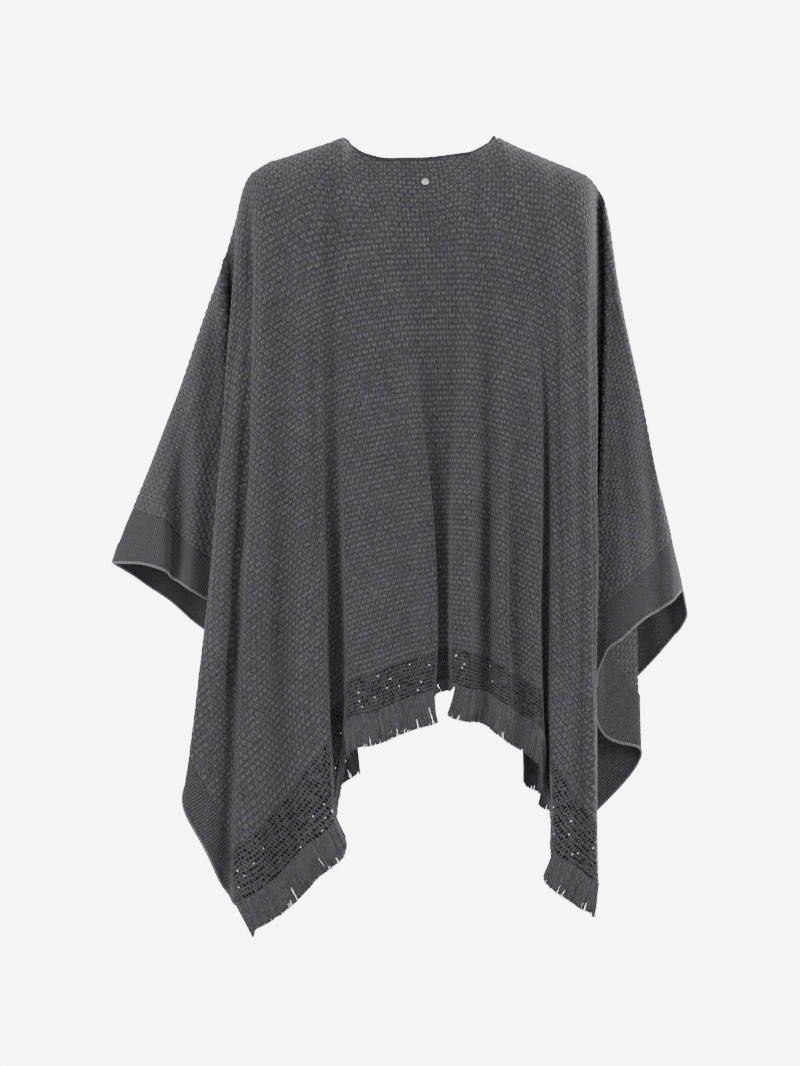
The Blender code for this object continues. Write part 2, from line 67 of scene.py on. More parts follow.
# The back, from the wearer's left wrist to the right wrist
BACK_FOLDS = [
    Fold("wrist_l", 363, -10, -473, 14, 366, -5, 368, -4, 371, -3, -496),
    Fold("sleeve_l1", 355, -9, -452, 30, 353, 8, 352, 16, 351, 22, -496),
    Fold("sleeve_l2", 334, -8, -402, 45, 333, 20, 332, 30, 332, 36, -497),
    Fold("sleeve_l3", 308, -6, -337, 50, 307, 28, 306, 40, 305, 48, -505),
    Fold("sleeve_l4", 287, -5, -281, 50, 289, 20, 291, 18, 295, 28, -515),
    Fold("sleeve_l5", 267, -4, -223, 50, 268, 30, 271, 42, 274, 50, -528),
    Fold("sleeve_l6", 251, -3, -178, 50, 250, 28, 251, 36, 253, 44, -540),
    Fold("tuck_l_out", 237, -2, -136, 60, 229, 30, 223, 36, 221, 34, -557),
    Fold("tuck_l_turn", 227, 0, -106, 60, 236, 14, 244, 8, 260, 4, -619),
    Fold("tuck_l_in", 220, 4, -80, 60, 202, 44, 185, 38, 176, 30, -704),
    Fold("side_l", 215, 12, -61, 90, 232, 72, 251, 100, 281, 104, -780),
    Fold("flank_l", 211, 12, -46, 110, 219, 88, 236, 114, 256, 116, -832),
    Fold("furrow_l1", 202, 8, -28, 120, 205, 90, 219, 98, 230, 100, -886),
    Fold("corner_l", 193, 8, -21, 120, 195, 106, 205, 120, 218, 122, -902),
    Fold("ridge_l1", 181, 8, -13, 120, 185, 112, 189, 124, 193, 124, -889),
    Fold("furrow_l2", 164, 8, -8, 125, 164, 108, 165, 106, 167, 106, -870),
    Fold("ridge_l2", 141, 8, 0, 130, 139, 118, 137, 122, 134, 124, -834),
    Fold("pleat_l_edge", 119, 8, 7, 130, 119, 114, 115, 121, 103, 122, -808),
    Fold("pleat_l_in", 110, 8, 10, 130, 111, 104, 108, 98, 99, 98, -768),
    Fold("pleat_l_in2", 102, 8, 13, 130, 103, 103, 95, 97, 91, 98, -718),
    Fold("pleat_l_edge2", 94, 8, 16, 130, 93, 112, 86, 119, 84, 121, -684),
    Fold("ridge_l3", 80, 28, 4, 120, 68, 116, 60, 124, 55, 126, -675),
    Fold("furrow_l3", 63, 44, -8, 110, 41, 108, 23, 112, 13, 114, -658),
    Fold("yoke_fold_l", 43, 54, -14, 100, 15, 112, -11, 122, -14, 124, -649),
    Fold("yoke_in_l", 17, 58, -15, 100, 3, 100, -20, 103, -22, 103, -641),
    Fold("yoke_in_r", -16, 58, -14, 100, -37, 99, -35, 102, -35, 102, -636),
    Fold("yoke_fold_r", -34, 54, -11, 100, -52, 113, -44, 122, -43, 123, -640),
    Fold("ridge_r3", -50, 46, -8, 105, -64, 118, -59, 126, -56, 126, -646),
    Fold("furrow_r3", -63, 36, -5, 110, -79, 108, -80, 102, -79, 100, -650),
    Fold("ridge_r2", -74, 28, 1, 115, -98, 118, -100, 124, -104, 126, -666),
    Fold("furrow_r2", -85, 18, 8, 120, -113, 110, -116, 108, -119, 107, -677),
    Fold("pleat_r_edge2", -97, 8, 16, 130, -139, 111, -142, 119, -146, 121, -697),
    Fold("pleat_r_in", -107, 8, 11, 130, -148, 98, -151, 93, -154, 92, -767),
    Fold("pleat_r_edge", -118, 8, 6, 130, -157, 109, -161, 119, -163, 121, -841),
    Fold("ridge_r1", -143, 8, -4, 130, -172, 118, -181, 124, -178, 124, -853),
    Fold("furrow_r1", -165, 8, -13, 125, -190, 106, -195, 112, -195, 114, -865),
    Fold("flank_r", -184, 8, -21, 120, -203, 104, -206, 116, -206, 118, -874),
    Fold("side_r", -202, 10, -29, 110, -213, 84, -212, 100, -214, 104, -880),
    Fold("tuck_r_in", -212, 4, -38, 80, -206, 38, -184, 16, -177, 10, -841),
    Fold("tuck_r_turn", -219, 0, -48, 60, -237, 10, -259, -2, -269, -6, -730),
    Fold("tuck_r_out", -225, -2, -60, 60, -224, 38, -215, 50, -211, 54, -648),
    Fold("sleeve_r6", -231, -3, -88, 55, -232, 36, -227, 46, -221, 54, -612),
    Fold("sleeve_r5", -238, -3, -140, 50, -242, 36, -244, 46, -244, 52, -587),
    Fold("sleeve_r4", -247, -4, -191, 50, -259, 34, -266, 42, -269, 48, -565),
    Fold("sleeve_r3", -260, -5, -253, 50, -275, 26, -283, 30, -287, 36, -554),
    Fold("sleeve_r2", -277, -6, -346, 45, -290, 28, -297, 36, -301, 42, -545),
    Fold("sleeve_r1", -297, -8, -426, 35, -304, 16, -309, 22, -311, 28, -536),
    Fold("wrist_r", -314, -10, -504, 14, -316, -5, -317, -4, -319, -3, -529),
]

# The left front, from its front edge to the left wrist
LEFT_FRONT_FOLDS = [
    Fold("edge_l", 94, 8, 15, 170, 93, -112, 87, -118, 76, -120, -712),
    Fold("front_ridge_l1", 105, 6, 12, 165, 110, -124, 106, -132, 97, -136, -730),
    Fold("front_furrow_l1", 117, 5, 8, 160, 127, -112, 129, -106, 121, -98, -755),
    Fold("front_ridge_l2", 130, 4, 4, 155, 143, -122, 148, -128, 142, -130, -782),
    Fold("front_pleat_l", 143, 3, -1, 150, 155, -102, 160, -88, 157, -76, -808),
    Fold("front_ridge_l3", 158, 2, -5, 145, 167, -116, 173, -122, 172, -124, -835),
    Fold("front_corner_l", 176, 1, -11, 140, 185, -106, 190, -112, 188, -114, -860),
    Fold("front_flank_l", 193, 0, -20, 125, 205, -96, 214, -106, 211, -108, -822),
    Fold("front_side_l", 207, 0, -34, 100, 224, -80, 236, -94, 233, -98, -781),
    Fold("front_tuck_l_in", 215, -4, -60, 60, 202, -42, 188, -58, 183, -62, -745),
    Fold("front_tuck_l_turn", 223, -4, -88, 50, 230, -14, 237, -18, 243, -18, -688),
    Fold("front_tuck_l_out", 229, -4, -109, 50, 224, -32, 219, -42, 221, -46, -604),
    Fold("front_sleeve_l5", 237, -4, -136, 50, 243, -34, 248, -42, 254, -46, -582),
    Fold("front_sleeve_l4", 253, -4, -181, 45, 257, -36, 263, -44, 273, -50, -568),
    Fold("front_sleeve_l3", 274, -5, -241, 45, 281, -32, 290, -38, 301, -44, -543),
    Fold("front_sleeve_l2", 304, -6, -329, 40, 310, -30, 317, -36, 326, -40, -526),
    Fold("front_sleeve_l1", 337, -8, -408, 30, 340, -24, 344, -28, 347, -30, -511),
    Fold("front_wrist_l", 363, -10, -473, 14, 366, -15, 368, -16, 370, -17, -497),
]

# The right front, from its front edge to the right wrist
RIGHT_FRONT_FOLDS = [
    Fold("edge_r", -94, 8, 16, 170, -98, -112, -110, -118, -129, -120, -722),
    Fold("front_ridge_r1", -105, 6, 11, 165, -115, -124, -127, -132, -146, -136, -740),
    Fold("front_furrow_r1", -116, 5, 7, 160, -131, -112, -145, -106, -160, -98, -762),
    Fold("front_ridge_r2", -128, 4, 2, 155, -146, -122, -159, -128, -172, -130, -785),
    Fold("front_pleat_r", -140, 3, -3, 150, -157, -104, -169, -92, -181, -84, -805),
    Fold("front_ridge_r3", -153, 2, -8, 145, -169, -116, -179, -122, -190, -124, -822),
    Fold("front_corner_r", -167, 1, -14, 140, -183, -106, -193, -112, -200, -114, -834),
    Fold("front_flank_r", -182, 0, -20, 125, -196, -96, -203, -106, -206, -108, -799),
    Fold("front_side_r", -196, 0, -26, 100, -207, -80, -208, -94, -207, -98, -760),
    Fold("front_tuck_r_in", -208, -4, -35, 60, -199, -42, -184, -54, -182, -56, -721),
    Fold("front_tuck_r_turn", -217, -4, -46, 50, -231, -16, -244, -22, -243, -24, -690),
    Fold("front_tuck_r_out", -224, -4, -58, 50, -223, -34, -221, -44, -225, -48, -661),
    Fold("front_sleeve_r5", -231, -4, -88, 50, -237, -36, -244, -44, -260, -50, -641),
    Fold("front_sleeve_r4", -241, -4, -155, 45, -251, -36, -262, -44, -278, -50, -623),
    Fold("front_sleeve_r3", -254, -5, -227, 45, -267, -32, -278, -38, -295, -44, -604),
    Fold("front_sleeve_r2", -272, -6, -319, 40, -285, -30, -296, -36, -310, -40, -586),
    Fold("front_sleeve_r1", -292, -8, -409, 35, -302, -24, -309, -28, -321, -30, -572),
    Fold("front_curl_r", -308, -9, -473, 25, -315, -18, -322, -22, -326, -24, -559),
    Fold("front_wrist_r", -314, -10, -504, 14, -317, -15, -320, -16, -323, -17, -540),
]

CORNERS = ("corner_l", "side_r", "front_corner_l", "front_corner_r")

# %% [markdown]
# ## Small creases
#
# Between the main folds, a hanging knit is never quite smooth. Short soft troughs run down from the
# shoulders, where the weight pulls, and others lie across the sleeves, where the cloth turns over
# the arm. Each is listed with its own length, depth and breadth. Depth above 0 is a trough
# and below 0 a ridge. The fronts have similar ones, and the whole cloth gets a faint unevenness.

# %% Crease table
Crease = namedtuple("Crease", "x_from z_from x_to z_to breadth depth")
BACK_CREASES = [
    Crease(166, -230, 170, -700, 15, 3.4),
    Crease(202, -250, 229, -745, 10, 4.0),
    Crease(101, -420, 98, -750, 11, 2.8),
    Crease(129, -150, 120, -540, 11, 4.4),
    Crease(197, -50, 200, -350, 12, 2.4),
    Crease(-15, -190, -19, -650, 21, 3.6),
    Crease(-44, -90, -46, -370, 9, 1.8),
    Crease(-80, -380, -82, -655, 10, 2.0),
    Crease(-108, -340, -109, -660, 10, 4.2),
    Crease(-162, -120, -171, -720, 10, 4.6),
    Crease(-187, -80, -192, -240, 10, 2.6),
    Crease(-211, -60, -215, -720, 9, 4.2),
    Crease(150, -40, 172, -300, 15, 2.2),
    Crease(118, -20, 128, -190, 11, -1.6),
    Crease(60, -60, 84, -230, 13, 2.0),
    Crease(24, -70, 20, -170, 10, 1.6),
    Crease(-60, -60, -70, -210, 12, 1.6),
    Crease(200, -120, 250, -420, 13, 2.4),
    Crease(228, -210, 300, -500, 10, 1.0),
    Crease(230, -110, 234, -240, 11, -4.0),
    Crease(255, -260, 330, -470, 9, -2.0),
    Crease(291, -400, 300, -515, 9, 0.8),
    Crease(-236, -260, -262, -560, 10, 1.4),
    Crease(-262, -380, -290, -540, 9, -2.0),
    Crease(196, -430, 240, -760, 13, -2.4),
    Crease(206, -520, 262, -820, 11, 2.8),
    Crease(-170, -420, -190, -820, 10, 2.2),
    Crease(-196, -480, -204, -800, 9, -2.0),
    Crease(136, -380, 134, -760, 12, -2.0),
    Crease(58, -380, 60, -640, 12, 1.8),
    Crease(-56, -330, -58, -640, 12, -2.0),
]
FRONT_CREASES = [
    Crease(104, -30, 124, -300, 11, 2.4),
    Crease(150, -30, 176, -260, 12, 2.6),
    Crease(120, -330, 112, -700, 12, 2.2),
    Crease(164, -300, 168, -780, 10, -2.2),
    Crease(196, -110, 222, -420, 11, 2.8),
    Crease(236, -200, 300, -500, 11, 2.6),
    Crease(262, -260, 330, -480, 9, -2.0),
    Crease(210, -420, 226, -760, 10, 2.2),
    Crease(-106, -30, -122, -280, 11, 2.2),
    Crease(-148, -30, -170, -300, 13, 2.4),
    Crease(-134, -330, -150, -720, 12, 2.4),
    Crease(-176, -340, -184, -780, 9, -2.0),
    Crease(-200, -120, -216, -440, 10, 2.8),
    Crease(-232, -220, -262, -540, 11, 2.6),
    Crease(-258, -300, -300, -560, 9, -2.2),
]

# %% [markdown]
# ## The drawn surface
#
# A panel's middle surface comes from its fold lines in two steps. Down the cloth, each line is a
# cubic through its four places, eased over the shoulder by a quarter ellipse. Across the cloth, one
# smooth curve passes through all lines at each drop, and no fold turns tighter than 6 mm, which is
# about as tight as a knit of this weight goes without a pressed edge. The drawing is made every few
# millimetres, much finer than the solids, so that the tucks come out round.

# %% Drawing functions
TIGHTEST_TURN = 6.0
SHOULDER_SEAM = 0.5
TOP_CROWDING = 1.35
RIDGE_DEPTH = 8.0
NECK_DEPTH = 38.0
NECK_HALF = 88.0
DRAWN_ROWS = 84
DRAWN_STEP = 5.5
SOFT_TOPS = [("pleat_r_edge2", "pleat_r_edge", -140, -340)]
EASING_ROUNDS, EASING_STEPS = 10, 160


def unit(vectors):
    """The same directions, one long."""
    return vectors / np.maximum(np.linalg.norm(vectors, axis=-1, keepdims=True), 1e-9)


def through_thirds(t, top, yoke, waist, hem):
    """The cubic through four values, at 0, one third, two thirds and 1."""
    a = (1 - 3 * t) * (1 - 1.5 * t) * (1 - t)
    b = 9 * t * (1 - 1.5 * t) * (1 - t)
    c = -4.5 * t * (1 - 3 * t) * (1 - t)
    d = t * (1 - 3 * t) * (1 - 1.5 * t)
    return a * top + b * yoke + c * waist + d * hem


def rounding(share, stand):
    """From 0 at the top to 1 where the cloth hangs: a quarter ellipse, or a sine on a standing neck."""
    q = np.minimum(share, 1.0)
    lying = np.sqrt(1 - (1 - q) ** 2)
    standing = np.sin(0.5 * math.pi * q)
    return (1 - stand) * lying + stand * standing


def fold_points(folds, drops, seam):
    """Each fold line's points at these shares of its drop, as rows of folds."""
    f = {key: np.array([getattr(fold, key) for fold in folds], float) for key in Fold._fields[1:]}
    t = np.asarray(drops)[:, None]
    fall = f["z_top"] - f["z_hem"]
    stand = np.clip((f["y_top"] - RIDGE_DEPTH) / (NECK_DEPTH - RIDGE_DEPTH), 0, 1)
    x = through_thirds(t, f["x_top"], f["x_yoke"], f["x_waist"], f["x_hem"])
    hang = through_thirds(t, f["y_yoke"], f["y_yoke"], f["y_waist"], f["y_hem"])
    start = f["y_top"] + seam
    y = start + (hang - start) * rounding(fall * t / f["turn"], stand)
    z = f["z_top"] - fall * t
    return np.stack([x, y, z], axis=2)


def across(points, counts, corners):
    """A smooth curve through each row's points, cut counts[i] times between two folds."""
    step = np.diff(points, axis=1)
    flat = step[..., :2]
    length = np.maximum(np.linalg.norm(flat, axis=2, keepdims=True), 1e-3)
    heading = flat / length
    before = np.concatenate([heading[:, :1], heading], axis=1)
    after = np.concatenate([heading, heading[:, -1:]], axis=1)
    tangent = unit(before + after)
    sharp = 0.5 * np.linalg.norm(before - after, axis=2, keepdims=True)
    slope = step[..., 2:] / length
    shared = (slope[:, :-1] * length[:, 1:] + slope[:, 1:] * length[:, :-1]) / (length[:, 1:] + length[:, :-1])
    slope_in = np.concatenate([slope[:, :1], shared, slope[:, -1:]], axis=1)
    slope_out = slope_in.copy()
    for corner in corners:
        slope_in[:, corner] = slope[:, corner - 1]
        slope_out[:, corner] = slope[:, corner]
    columns = []
    for i, count in enumerate(counts):
        size = length[:, i]
        tight = np.minimum(size, np.sqrt(4 * TIGHTEST_TURN * size))
        leave = tangent[:, i] * (size + (tight - size) * sharp[:, i])
        arrive = tangent[:, i + 1] * (size + (tight - size) * sharp[:, i + 1])
        leave = np.concatenate([leave, slope_out[:, i] * size], axis=1)
        arrive = np.concatenate([arrive, slope_in[:, i + 1] * size], axis=1)
        for k in range(count):
            u = 0.5 - 0.5 * math.cos(math.pi * k / count)
            columns.append(
                (2 * u**3 - 3 * u**2 + 1) * points[:, i]
                + (u**3 - 2 * u**2 + u) * leave
                + (3 * u**2 - 2 * u**3) * points[:, i + 1]
                + (u**3 - u**2) * arrive
            )
    columns.append(points[:, -1])
    return np.stack(columns, axis=1)


def drawn_panel(folds, seam):
    """The panel as rows and columns of points, and each fold's column."""
    drops = (np.arange(DRAWN_ROWS + 1) / DRAWN_ROWS) ** TOP_CROWDING
    points = fold_points(folds, drops, seam)
    widest = np.linalg.norm(np.diff(points, axis=1), axis=2).max(axis=0)
    counts = [max(2, round(width / DRAWN_STEP)) for width in widest]
    corners = [k for k, fold in enumerate(folds) if fold.name in CORNERS]
    starts = np.concatenate([[0], np.cumsum(counts)])
    places = {fold.name: int(k) for fold, k in zip(folds, starts)}
    grid = across(points, counts, corners)
    for first, last, z_whole, z_none in SOFT_TOPS:
        if first in places:
            part = grid[:, places[first] : places[last] + 1]
            share = np.linspace(0, 1, part.shape[1])[None, :, None]
            level = (1 - share) * part[:, :1] + share * part[:, -1:]
            ease = np.clip((part[:, :1, 2:] - z_none) / (z_whole - z_none), 0, 1)
            part += ease * ease * (3 - 2 * ease) * (level - part)
    return grid, places


# %% [markdown]
# ## The knit's own rows and wales
#
# The panels are knitted flat, as rectangles. Each point of the drawn surface gets the place that it
# had in the flat piece: how far along a row it is and how far down from the shoulder. The places
# along the edges are known from the lengths of the edges, and between them they are as evenly
# spread as the surface allows, the way a slack knit shares out its stretch. That is a harmonic
# map, and it is solved on the drawing's own triangles. Then the places are eased round by round, so
# that each triangle keeps its size and is only turned. So the rows lie level at the neck and run
# down like a roof towards the sides.

# %% Flat places on the drawn surface


def edge_lengths(points):
    """How far along its row of points each one lies."""
    return np.concatenate([[0.0], np.cumsum(np.linalg.norm(np.diff(points, axis=0), axis=1))])


def corner_weights(grid):
    """For each cell, the cotangents of the corners of its two triangles, three each."""

    def cotangent(at, one, two):
        p, q = one - at, two - at
        size = np.linalg.norm(np.cross(p, q), axis=2)
        return 0.5 * np.clip(np.sum(p * q, axis=2) / np.maximum(size, 1e-6), 0.03, 20.0)

    a, b, d, e = grid[:-1, :-1], grid[:-1, 1:], grid[1:, :-1], grid[1:, 1:]
    return [
        [cotangent(p, q, r), cotangent(q, r, p), cotangent(r, p, q)] for p, q, r in ((a, b, d), (e, d, b))
    ]


def corners_of(values):
    """The values at the corners of the two triangles of each cell, in the order of corner_weights."""
    a, b, d, e = values[:-1, :-1], values[:-1, 1:], values[1:, :-1], values[1:, 1:]
    return (a, b, d), (e, d, b)


def net_pull(weights):
    """A function that gives, for values on the grid, how far each point is from its neighbours' mean."""
    (a1, b1, d1), (e2, d2, b2) = weights
    rows, columns = a1.shape
    over, down = np.zeros((rows + 1, columns)), np.zeros((rows, columns + 1))
    over[:-1] += d1
    over[1:] += b2
    down[:, :-1] += b1
    down[:, 1:] += d2
    slant = a1 + e2

    def pull(x):
        out = np.zeros_like(x)
        flow = over * (x[:, :-1] - x[:, 1:])
        out[:, :-1] += flow
        out[:, 1:] -= flow
        flow = down * (x[:-1] - x[1:])
        out[:-1] += flow
        out[1:] -= flow
        flow = slant * (x[:-1, 1:] - x[1:, :-1])
        out[:-1, 1:] += flow
        out[1:, :-1] -= flow
        return out

    own = np.zeros((rows + 1, columns + 1))
    for part, one, two in ((over, (0, 0), (0, 1)), (down, (0, 0), (1, 0)), (slant, (0, 1), (1, 0))):
        high, wide = part.shape
        for row, column in (one, two):
            own[row : row + high, column : column + wide] += part
    return pull, own


def spread_evenly(pull, own, x, free, wanted=0.0, rounds=2500):
    """Moves the free values until the pull on them is the wanted one, by conjugate gradients."""
    x = x.copy()
    rest = (wanted - pull(x)) * free
    ready = rest / own
    path = ready.copy()
    worth = np.sum(rest * ready)
    for _ in range(rounds):
        moved = pull(path) * free
        share = worth / np.sum(path * moved)
        x += share * path
        rest -= share * moved
        ready = rest / own
        fresh = np.sum(rest * ready)
        if fresh < 1e-9:
            break
        path = ready + fresh / worth * path
        worth = fresh
    return x


def lay_true(grid, weights, pull, own, u, v, u_free, v_free):
    """Eases the flat places so that each triangle keeps its size: each is turned, never stretched."""
    cut = []
    for (p, q, r), (at_p, at_q, at_r) in zip(corners_of(grid), weights):
        long = np.linalg.norm(q - p, axis=2)
        along = (q - p) / long[..., None]
        ahead = np.sum((r - p) * along, axis=2)
        aside = np.linalg.norm(r - p - ahead[..., None] * along, axis=2)
        sides = ((0, 1, long, 0 * long, at_r), (1, 2, ahead - long, aside, at_p), (2, 0, -ahead, -aside, at_q))
        cut.append(sides)
    for _ in range(EASING_ROUNDS):
        wanted = np.zeros((2, *u.shape))
        for sides, us, vs, u_to, v_to in zip(
            cut, corners_of(u), corners_of(v), corners_of(wanted[0]), corners_of(wanted[1])
        ):
            turn_x = sum(w * ((us[j] - us[i]) * x + (vs[j] - vs[i]) * y) for i, j, x, y, w in sides)
            turn_y = sum(w * ((vs[j] - vs[i]) * x - (us[j] - us[i]) * y) for i, j, x, y, w in sides)
            size = np.hypot(turn_x, turn_y)
            turn_x, turn_y = turn_x / size, turn_y / size
            for i, j, x, y, w in sides:
                over, down = w * (turn_x * x - turn_y * y), w * (turn_y * x + turn_x * y)
                u_to[j][...] += over
                u_to[i][...] -= over
                v_to[j][...] += down
                v_to[i][...] -= down
        u = spread_evenly(pull, own, u, u_free, wanted[0], EASING_STEPS)
        v = spread_evenly(pull, own, v, v_free, wanted[1], EASING_STEPS)
    return u, v


Cloth = namedtuple("Cloth", "node grid u v half length outward creases")


def drawn_area(grid):
    """The area of a drawn panel, from the diagonals of its cells."""
    across, back = grid[1:, 1:] - grid[:-1, :-1], grid[1:, :-1] - grid[:-1, 1:]
    return 0.5 * np.linalg.norm(np.cross(across, back), axis=2).sum()


def flat_places(node, folds, seam, left_corner, right_corner, outward, creases):
    """A drawn panel with the flat places u (along a row) and v (down from the top) of its points.

    The neck is a shallow hollow cut into the top of the back, so its edge lies a little down the
    rows, and the rows run straight across below it.
    """
    grid, places = drawn_panel(folds, seam)
    end = grid.shape[1] - 1
    first = places[left_corner] if left_corner else 0
    last = places[right_corner] if right_corner else end
    in_neck = np.abs(grid[0, :, 0]) < (NECK_HALF if left_corner else 0)
    steps = np.where(in_neck[1:] | in_neck[:-1], np.abs(np.diff(grid[0, :, 0])), np.diff(edge_lengths(grid[0])))
    top = np.concatenate([[0.0], np.cumsum(steps)])
    neck_dip = np.where(in_neck, grid[0, :, 2].max() - grid[0, :, 2], 0)
    left_end, right_end = edge_lengths(grid[:, 0]), edge_lengths(grid[:, -1])
    hem = edge_lengths(grid[-1])
    left_side = np.concatenate([left_end, left_end[-1] + hem[1 : first + 1]])
    right_side = np.concatenate([right_end, right_end[-1] + (hem[-1] - hem[last:-1][::-1])])
    length = 0.5 * (left_side[-1] + right_side[-1])
    width = 0.5 * (drawn_area(grid) / length + top[-1])
    print(
        f"{node}: top {top[-1]:.0f}, hem {hem[last] - hem[first]:.0f}, sides {left_side[-1]:.0f} and"
        f" {right_side[-1]:.0f}, so flat {width:.0f} x {length:.0f} mm"
    )
    rows = grid.shape[0]
    u, v = np.zeros((2, *grid.shape[:2]))
    share = np.linspace(0, 1, rows)[:, None]
    u_top = (top / top[-1] - 0.5) * width
    u_hem = np.interp(hem, [hem[first], hem[last]], [-0.5 * width, 0.5 * width])
    v_hem = np.full(end + 1, length)
    v_left, v_right = left_side / left_side[-1] * length, right_side / right_side[-1] * length
    v_hem[: first + 1] = v_left[rows - 1 :]
    v_hem[last:] = v_right[rows - 1 :][::-1]
    u[:] = (1 - share) * u_top + share * u_hem
    v[:] = share * v_hem + (1 - share) * neck_dip
    u[:, 0], u[:, -1] = -0.5 * width, 0.5 * width
    v[:, 0], v[:, -1] = v_left[:rows], v_right[:rows]
    inside = np.zeros(grid.shape[:2])
    inside[1:-1, 1:-1] = 1
    weights = corner_weights(grid)
    pull, own = net_pull(weights)
    u = spread_evenly(pull, own, u, inside)
    v = spread_evenly(pull, own, v, inside)
    u_free, v_free = inside.copy(), inside.copy()
    u_free[-1, first + 1 : last] = 1
    v_free[1:-1, [0, -1]] = 1
    v_free[-1, :first] = v_free[-1, last + 1 :] = 1
    u, v = lay_true(grid, weights, pull, own, u, v, u_free, v_free)
    return Cloth(node, grid, u, v, 0.5 * width, length, np.array(outward, float), creases)


BACK = flat_places("back_panel", BACK_FOLDS, SHOULDER_SEAM, "corner_l", "side_r", (0, 1, 0), BACK_CREASES)
LEFT, RIGHT = (
    flat_places(node, folds, -SHOULDER_SEAM, None, corner, (0, -1, 0), FRONT_CREASES)
    for node, folds, corner in (
        ("front_panel_left", LEFT_FRONT_FOLDS, "front_corner_l"),
        ("front_panel_right", RIGHT_FRONT_FOLDS, "front_corner_r"),
    )
)

# %% [markdown]
# ## Laying the knit on the surface
#
# A grid of wales and courses in the flat piece is looked up in the triangles of the drawing, and
# each of its points is read off the surface with a smooth curve through the sixteen nearest
# drawn points. Any piece can be laid this way: bumps, ribs, net, stones and fringe.

# %% Looking up flat places


def smooth_sample(values, row, column):
    """Values read between grid points by Catmull-Rom curves both ways."""
    padded = np.pad(values, ((1, 1), (1, 1), (0, 0)), mode="edge")
    padded[0] = 2 * padded[1] - padded[2]
    padded[-1] = 2 * padded[-2] - padded[-3]
    padded[:, 0] = 2 * padded[:, 1] - padded[:, 2]
    padded[:, -1] = 2 * padded[:, -2] - padded[:, -3]
    r = np.clip(row.astype(int), 0, values.shape[0] - 2)
    c = np.clip(column.astype(int), 0, values.shape[1] - 2)

    def blend(t):
        return (
            0.5 * (-t + 2 * t**2 - t**3),
            0.5 * (2 - 5 * t**2 + 3 * t**3),
            0.5 * (t + 4 * t**2 - 3 * t**3),
            0.5 * (t**3 - t**2),
        )

    out = 0.0
    for i, wr in enumerate(blend((row - r)[..., None])):
        for j, wc in enumerate(blend((column - c)[..., None])):
            out = out + wr * wc * padded[r + i, c + j]
    return out


def cut_away(cloth, us, vs):
    """Which of the flat places lie in the neck hollow, above the top edge of the cloth."""
    return vs[:, None] < np.interp(us, cloth.u[0], cloth.v[0])[None] - 1e-6


def lay(cloth, us, vs):
    """Points and outward directions of the surface at each pair of flat places, as rows of us."""
    us = np.clip(us, -cloth.half + 1e-4, cloth.half - 1e-4)
    vs = np.clip(vs, 1e-4, cloth.length - 1e-4)
    rows, columns = cloth.u.shape
    r, c = np.meshgrid(np.arange(rows - 1), np.arange(columns - 1), indexing="ij")
    r, c = r.ravel(), c.ravel()
    tri_r = np.concatenate([np.stack([r, r, r + 1], 1), np.stack([r, r + 1, r + 1], 1)])
    tri_c = np.concatenate([np.stack([c, c + 1, c], 1), np.stack([c + 1, c + 1, c], 1)])
    tu, tv = cloth.u[tri_r, tri_c], cloth.v[tri_r, tri_c]
    slack = 1e-6
    i0, i1 = np.searchsorted(us, tu.min(1) - slack), np.searchsorted(us, tu.max(1) + slack)
    j0, j1 = np.searchsorted(vs, tv.min(1) - slack), np.searchsorted(vs, tv.max(1) + slack)
    area = (tu[:, 1] - tu[:, 0]) * (tv[:, 2] - tv[:, 0]) - (tu[:, 2] - tu[:, 0]) * (tv[:, 1] - tv[:, 0])
    found = np.full((len(vs), len(us), 2), np.nan)
    for di in range((i1 - i0).max()):
        for dj in range((j1 - j0).max()):
            k = np.flatnonzero((i0 + di < i1) & (j0 + dj < j1) & (np.abs(area) > 1e-12))
            i, j = i0[k] + di, j0[k] + dj
            pu, pv = us[i] - tu[k, 0], vs[j] - tv[k, 0]
            q = (pu * (tv[k, 2] - tv[k, 0]) - pv * (tu[k, 2] - tu[k, 0])) / area[k]
            s = (pv * (tu[k, 1] - tu[k, 0]) - pu * (tv[k, 1] - tv[k, 0])) / area[k]
            good = (q > -1e-5) & (s > -1e-5) & (q + s < 1 + 1e-5)
            i, j, k, q, s = i[good], j[good], k[good], q[good, None], s[good, None]
            corner = np.stack([tri_r[k], tri_c[k]], 2).astype(float)
            found[j, i] = corner[:, 0] + q * (corner[:, 1] - corner[:, 0]) + s * (corner[:, 2] - corner[:, 0])
    above = cut_away(cloth, us, vs)
    found[above] = 0
    found[..., 1][above] = np.broadcast_to(np.interp(us, cloth.u[0], np.arange(columns)), above.shape)[above]
    missing = np.isnan(found[..., 0])
    if missing.any():
        print(f"{cloth.node}: {missing.sum()} of {missing.size} places filled from their neighbours")
    while missing.any():
        for shift, axis in ((1, 1), (-1, 1), (1, 0), (-1, 0)):
            near = np.roll(found, shift, axis)
            take = missing & ~np.isnan(near[..., 0])
            found[take] = near[take]
            missing = np.isnan(found[..., 0])
    points = smooth_sample(cloth.grid, found[..., 0], found[..., 1])
    return points, outward_of(points, cloth.outward)


def outward_of(points, side):
    """Unit directions square to a sheet of points, on the side that faces outward."""
    over = np.gradient(points, axis=1)
    down = np.gradient(points, axis=0)
    face = unit(np.cross(over, down))
    return face * np.sign(np.sum(face * side))


# %% Pressing in the creases
CREASE_GAIN, UNEVENNESS = 1.7, 0.6


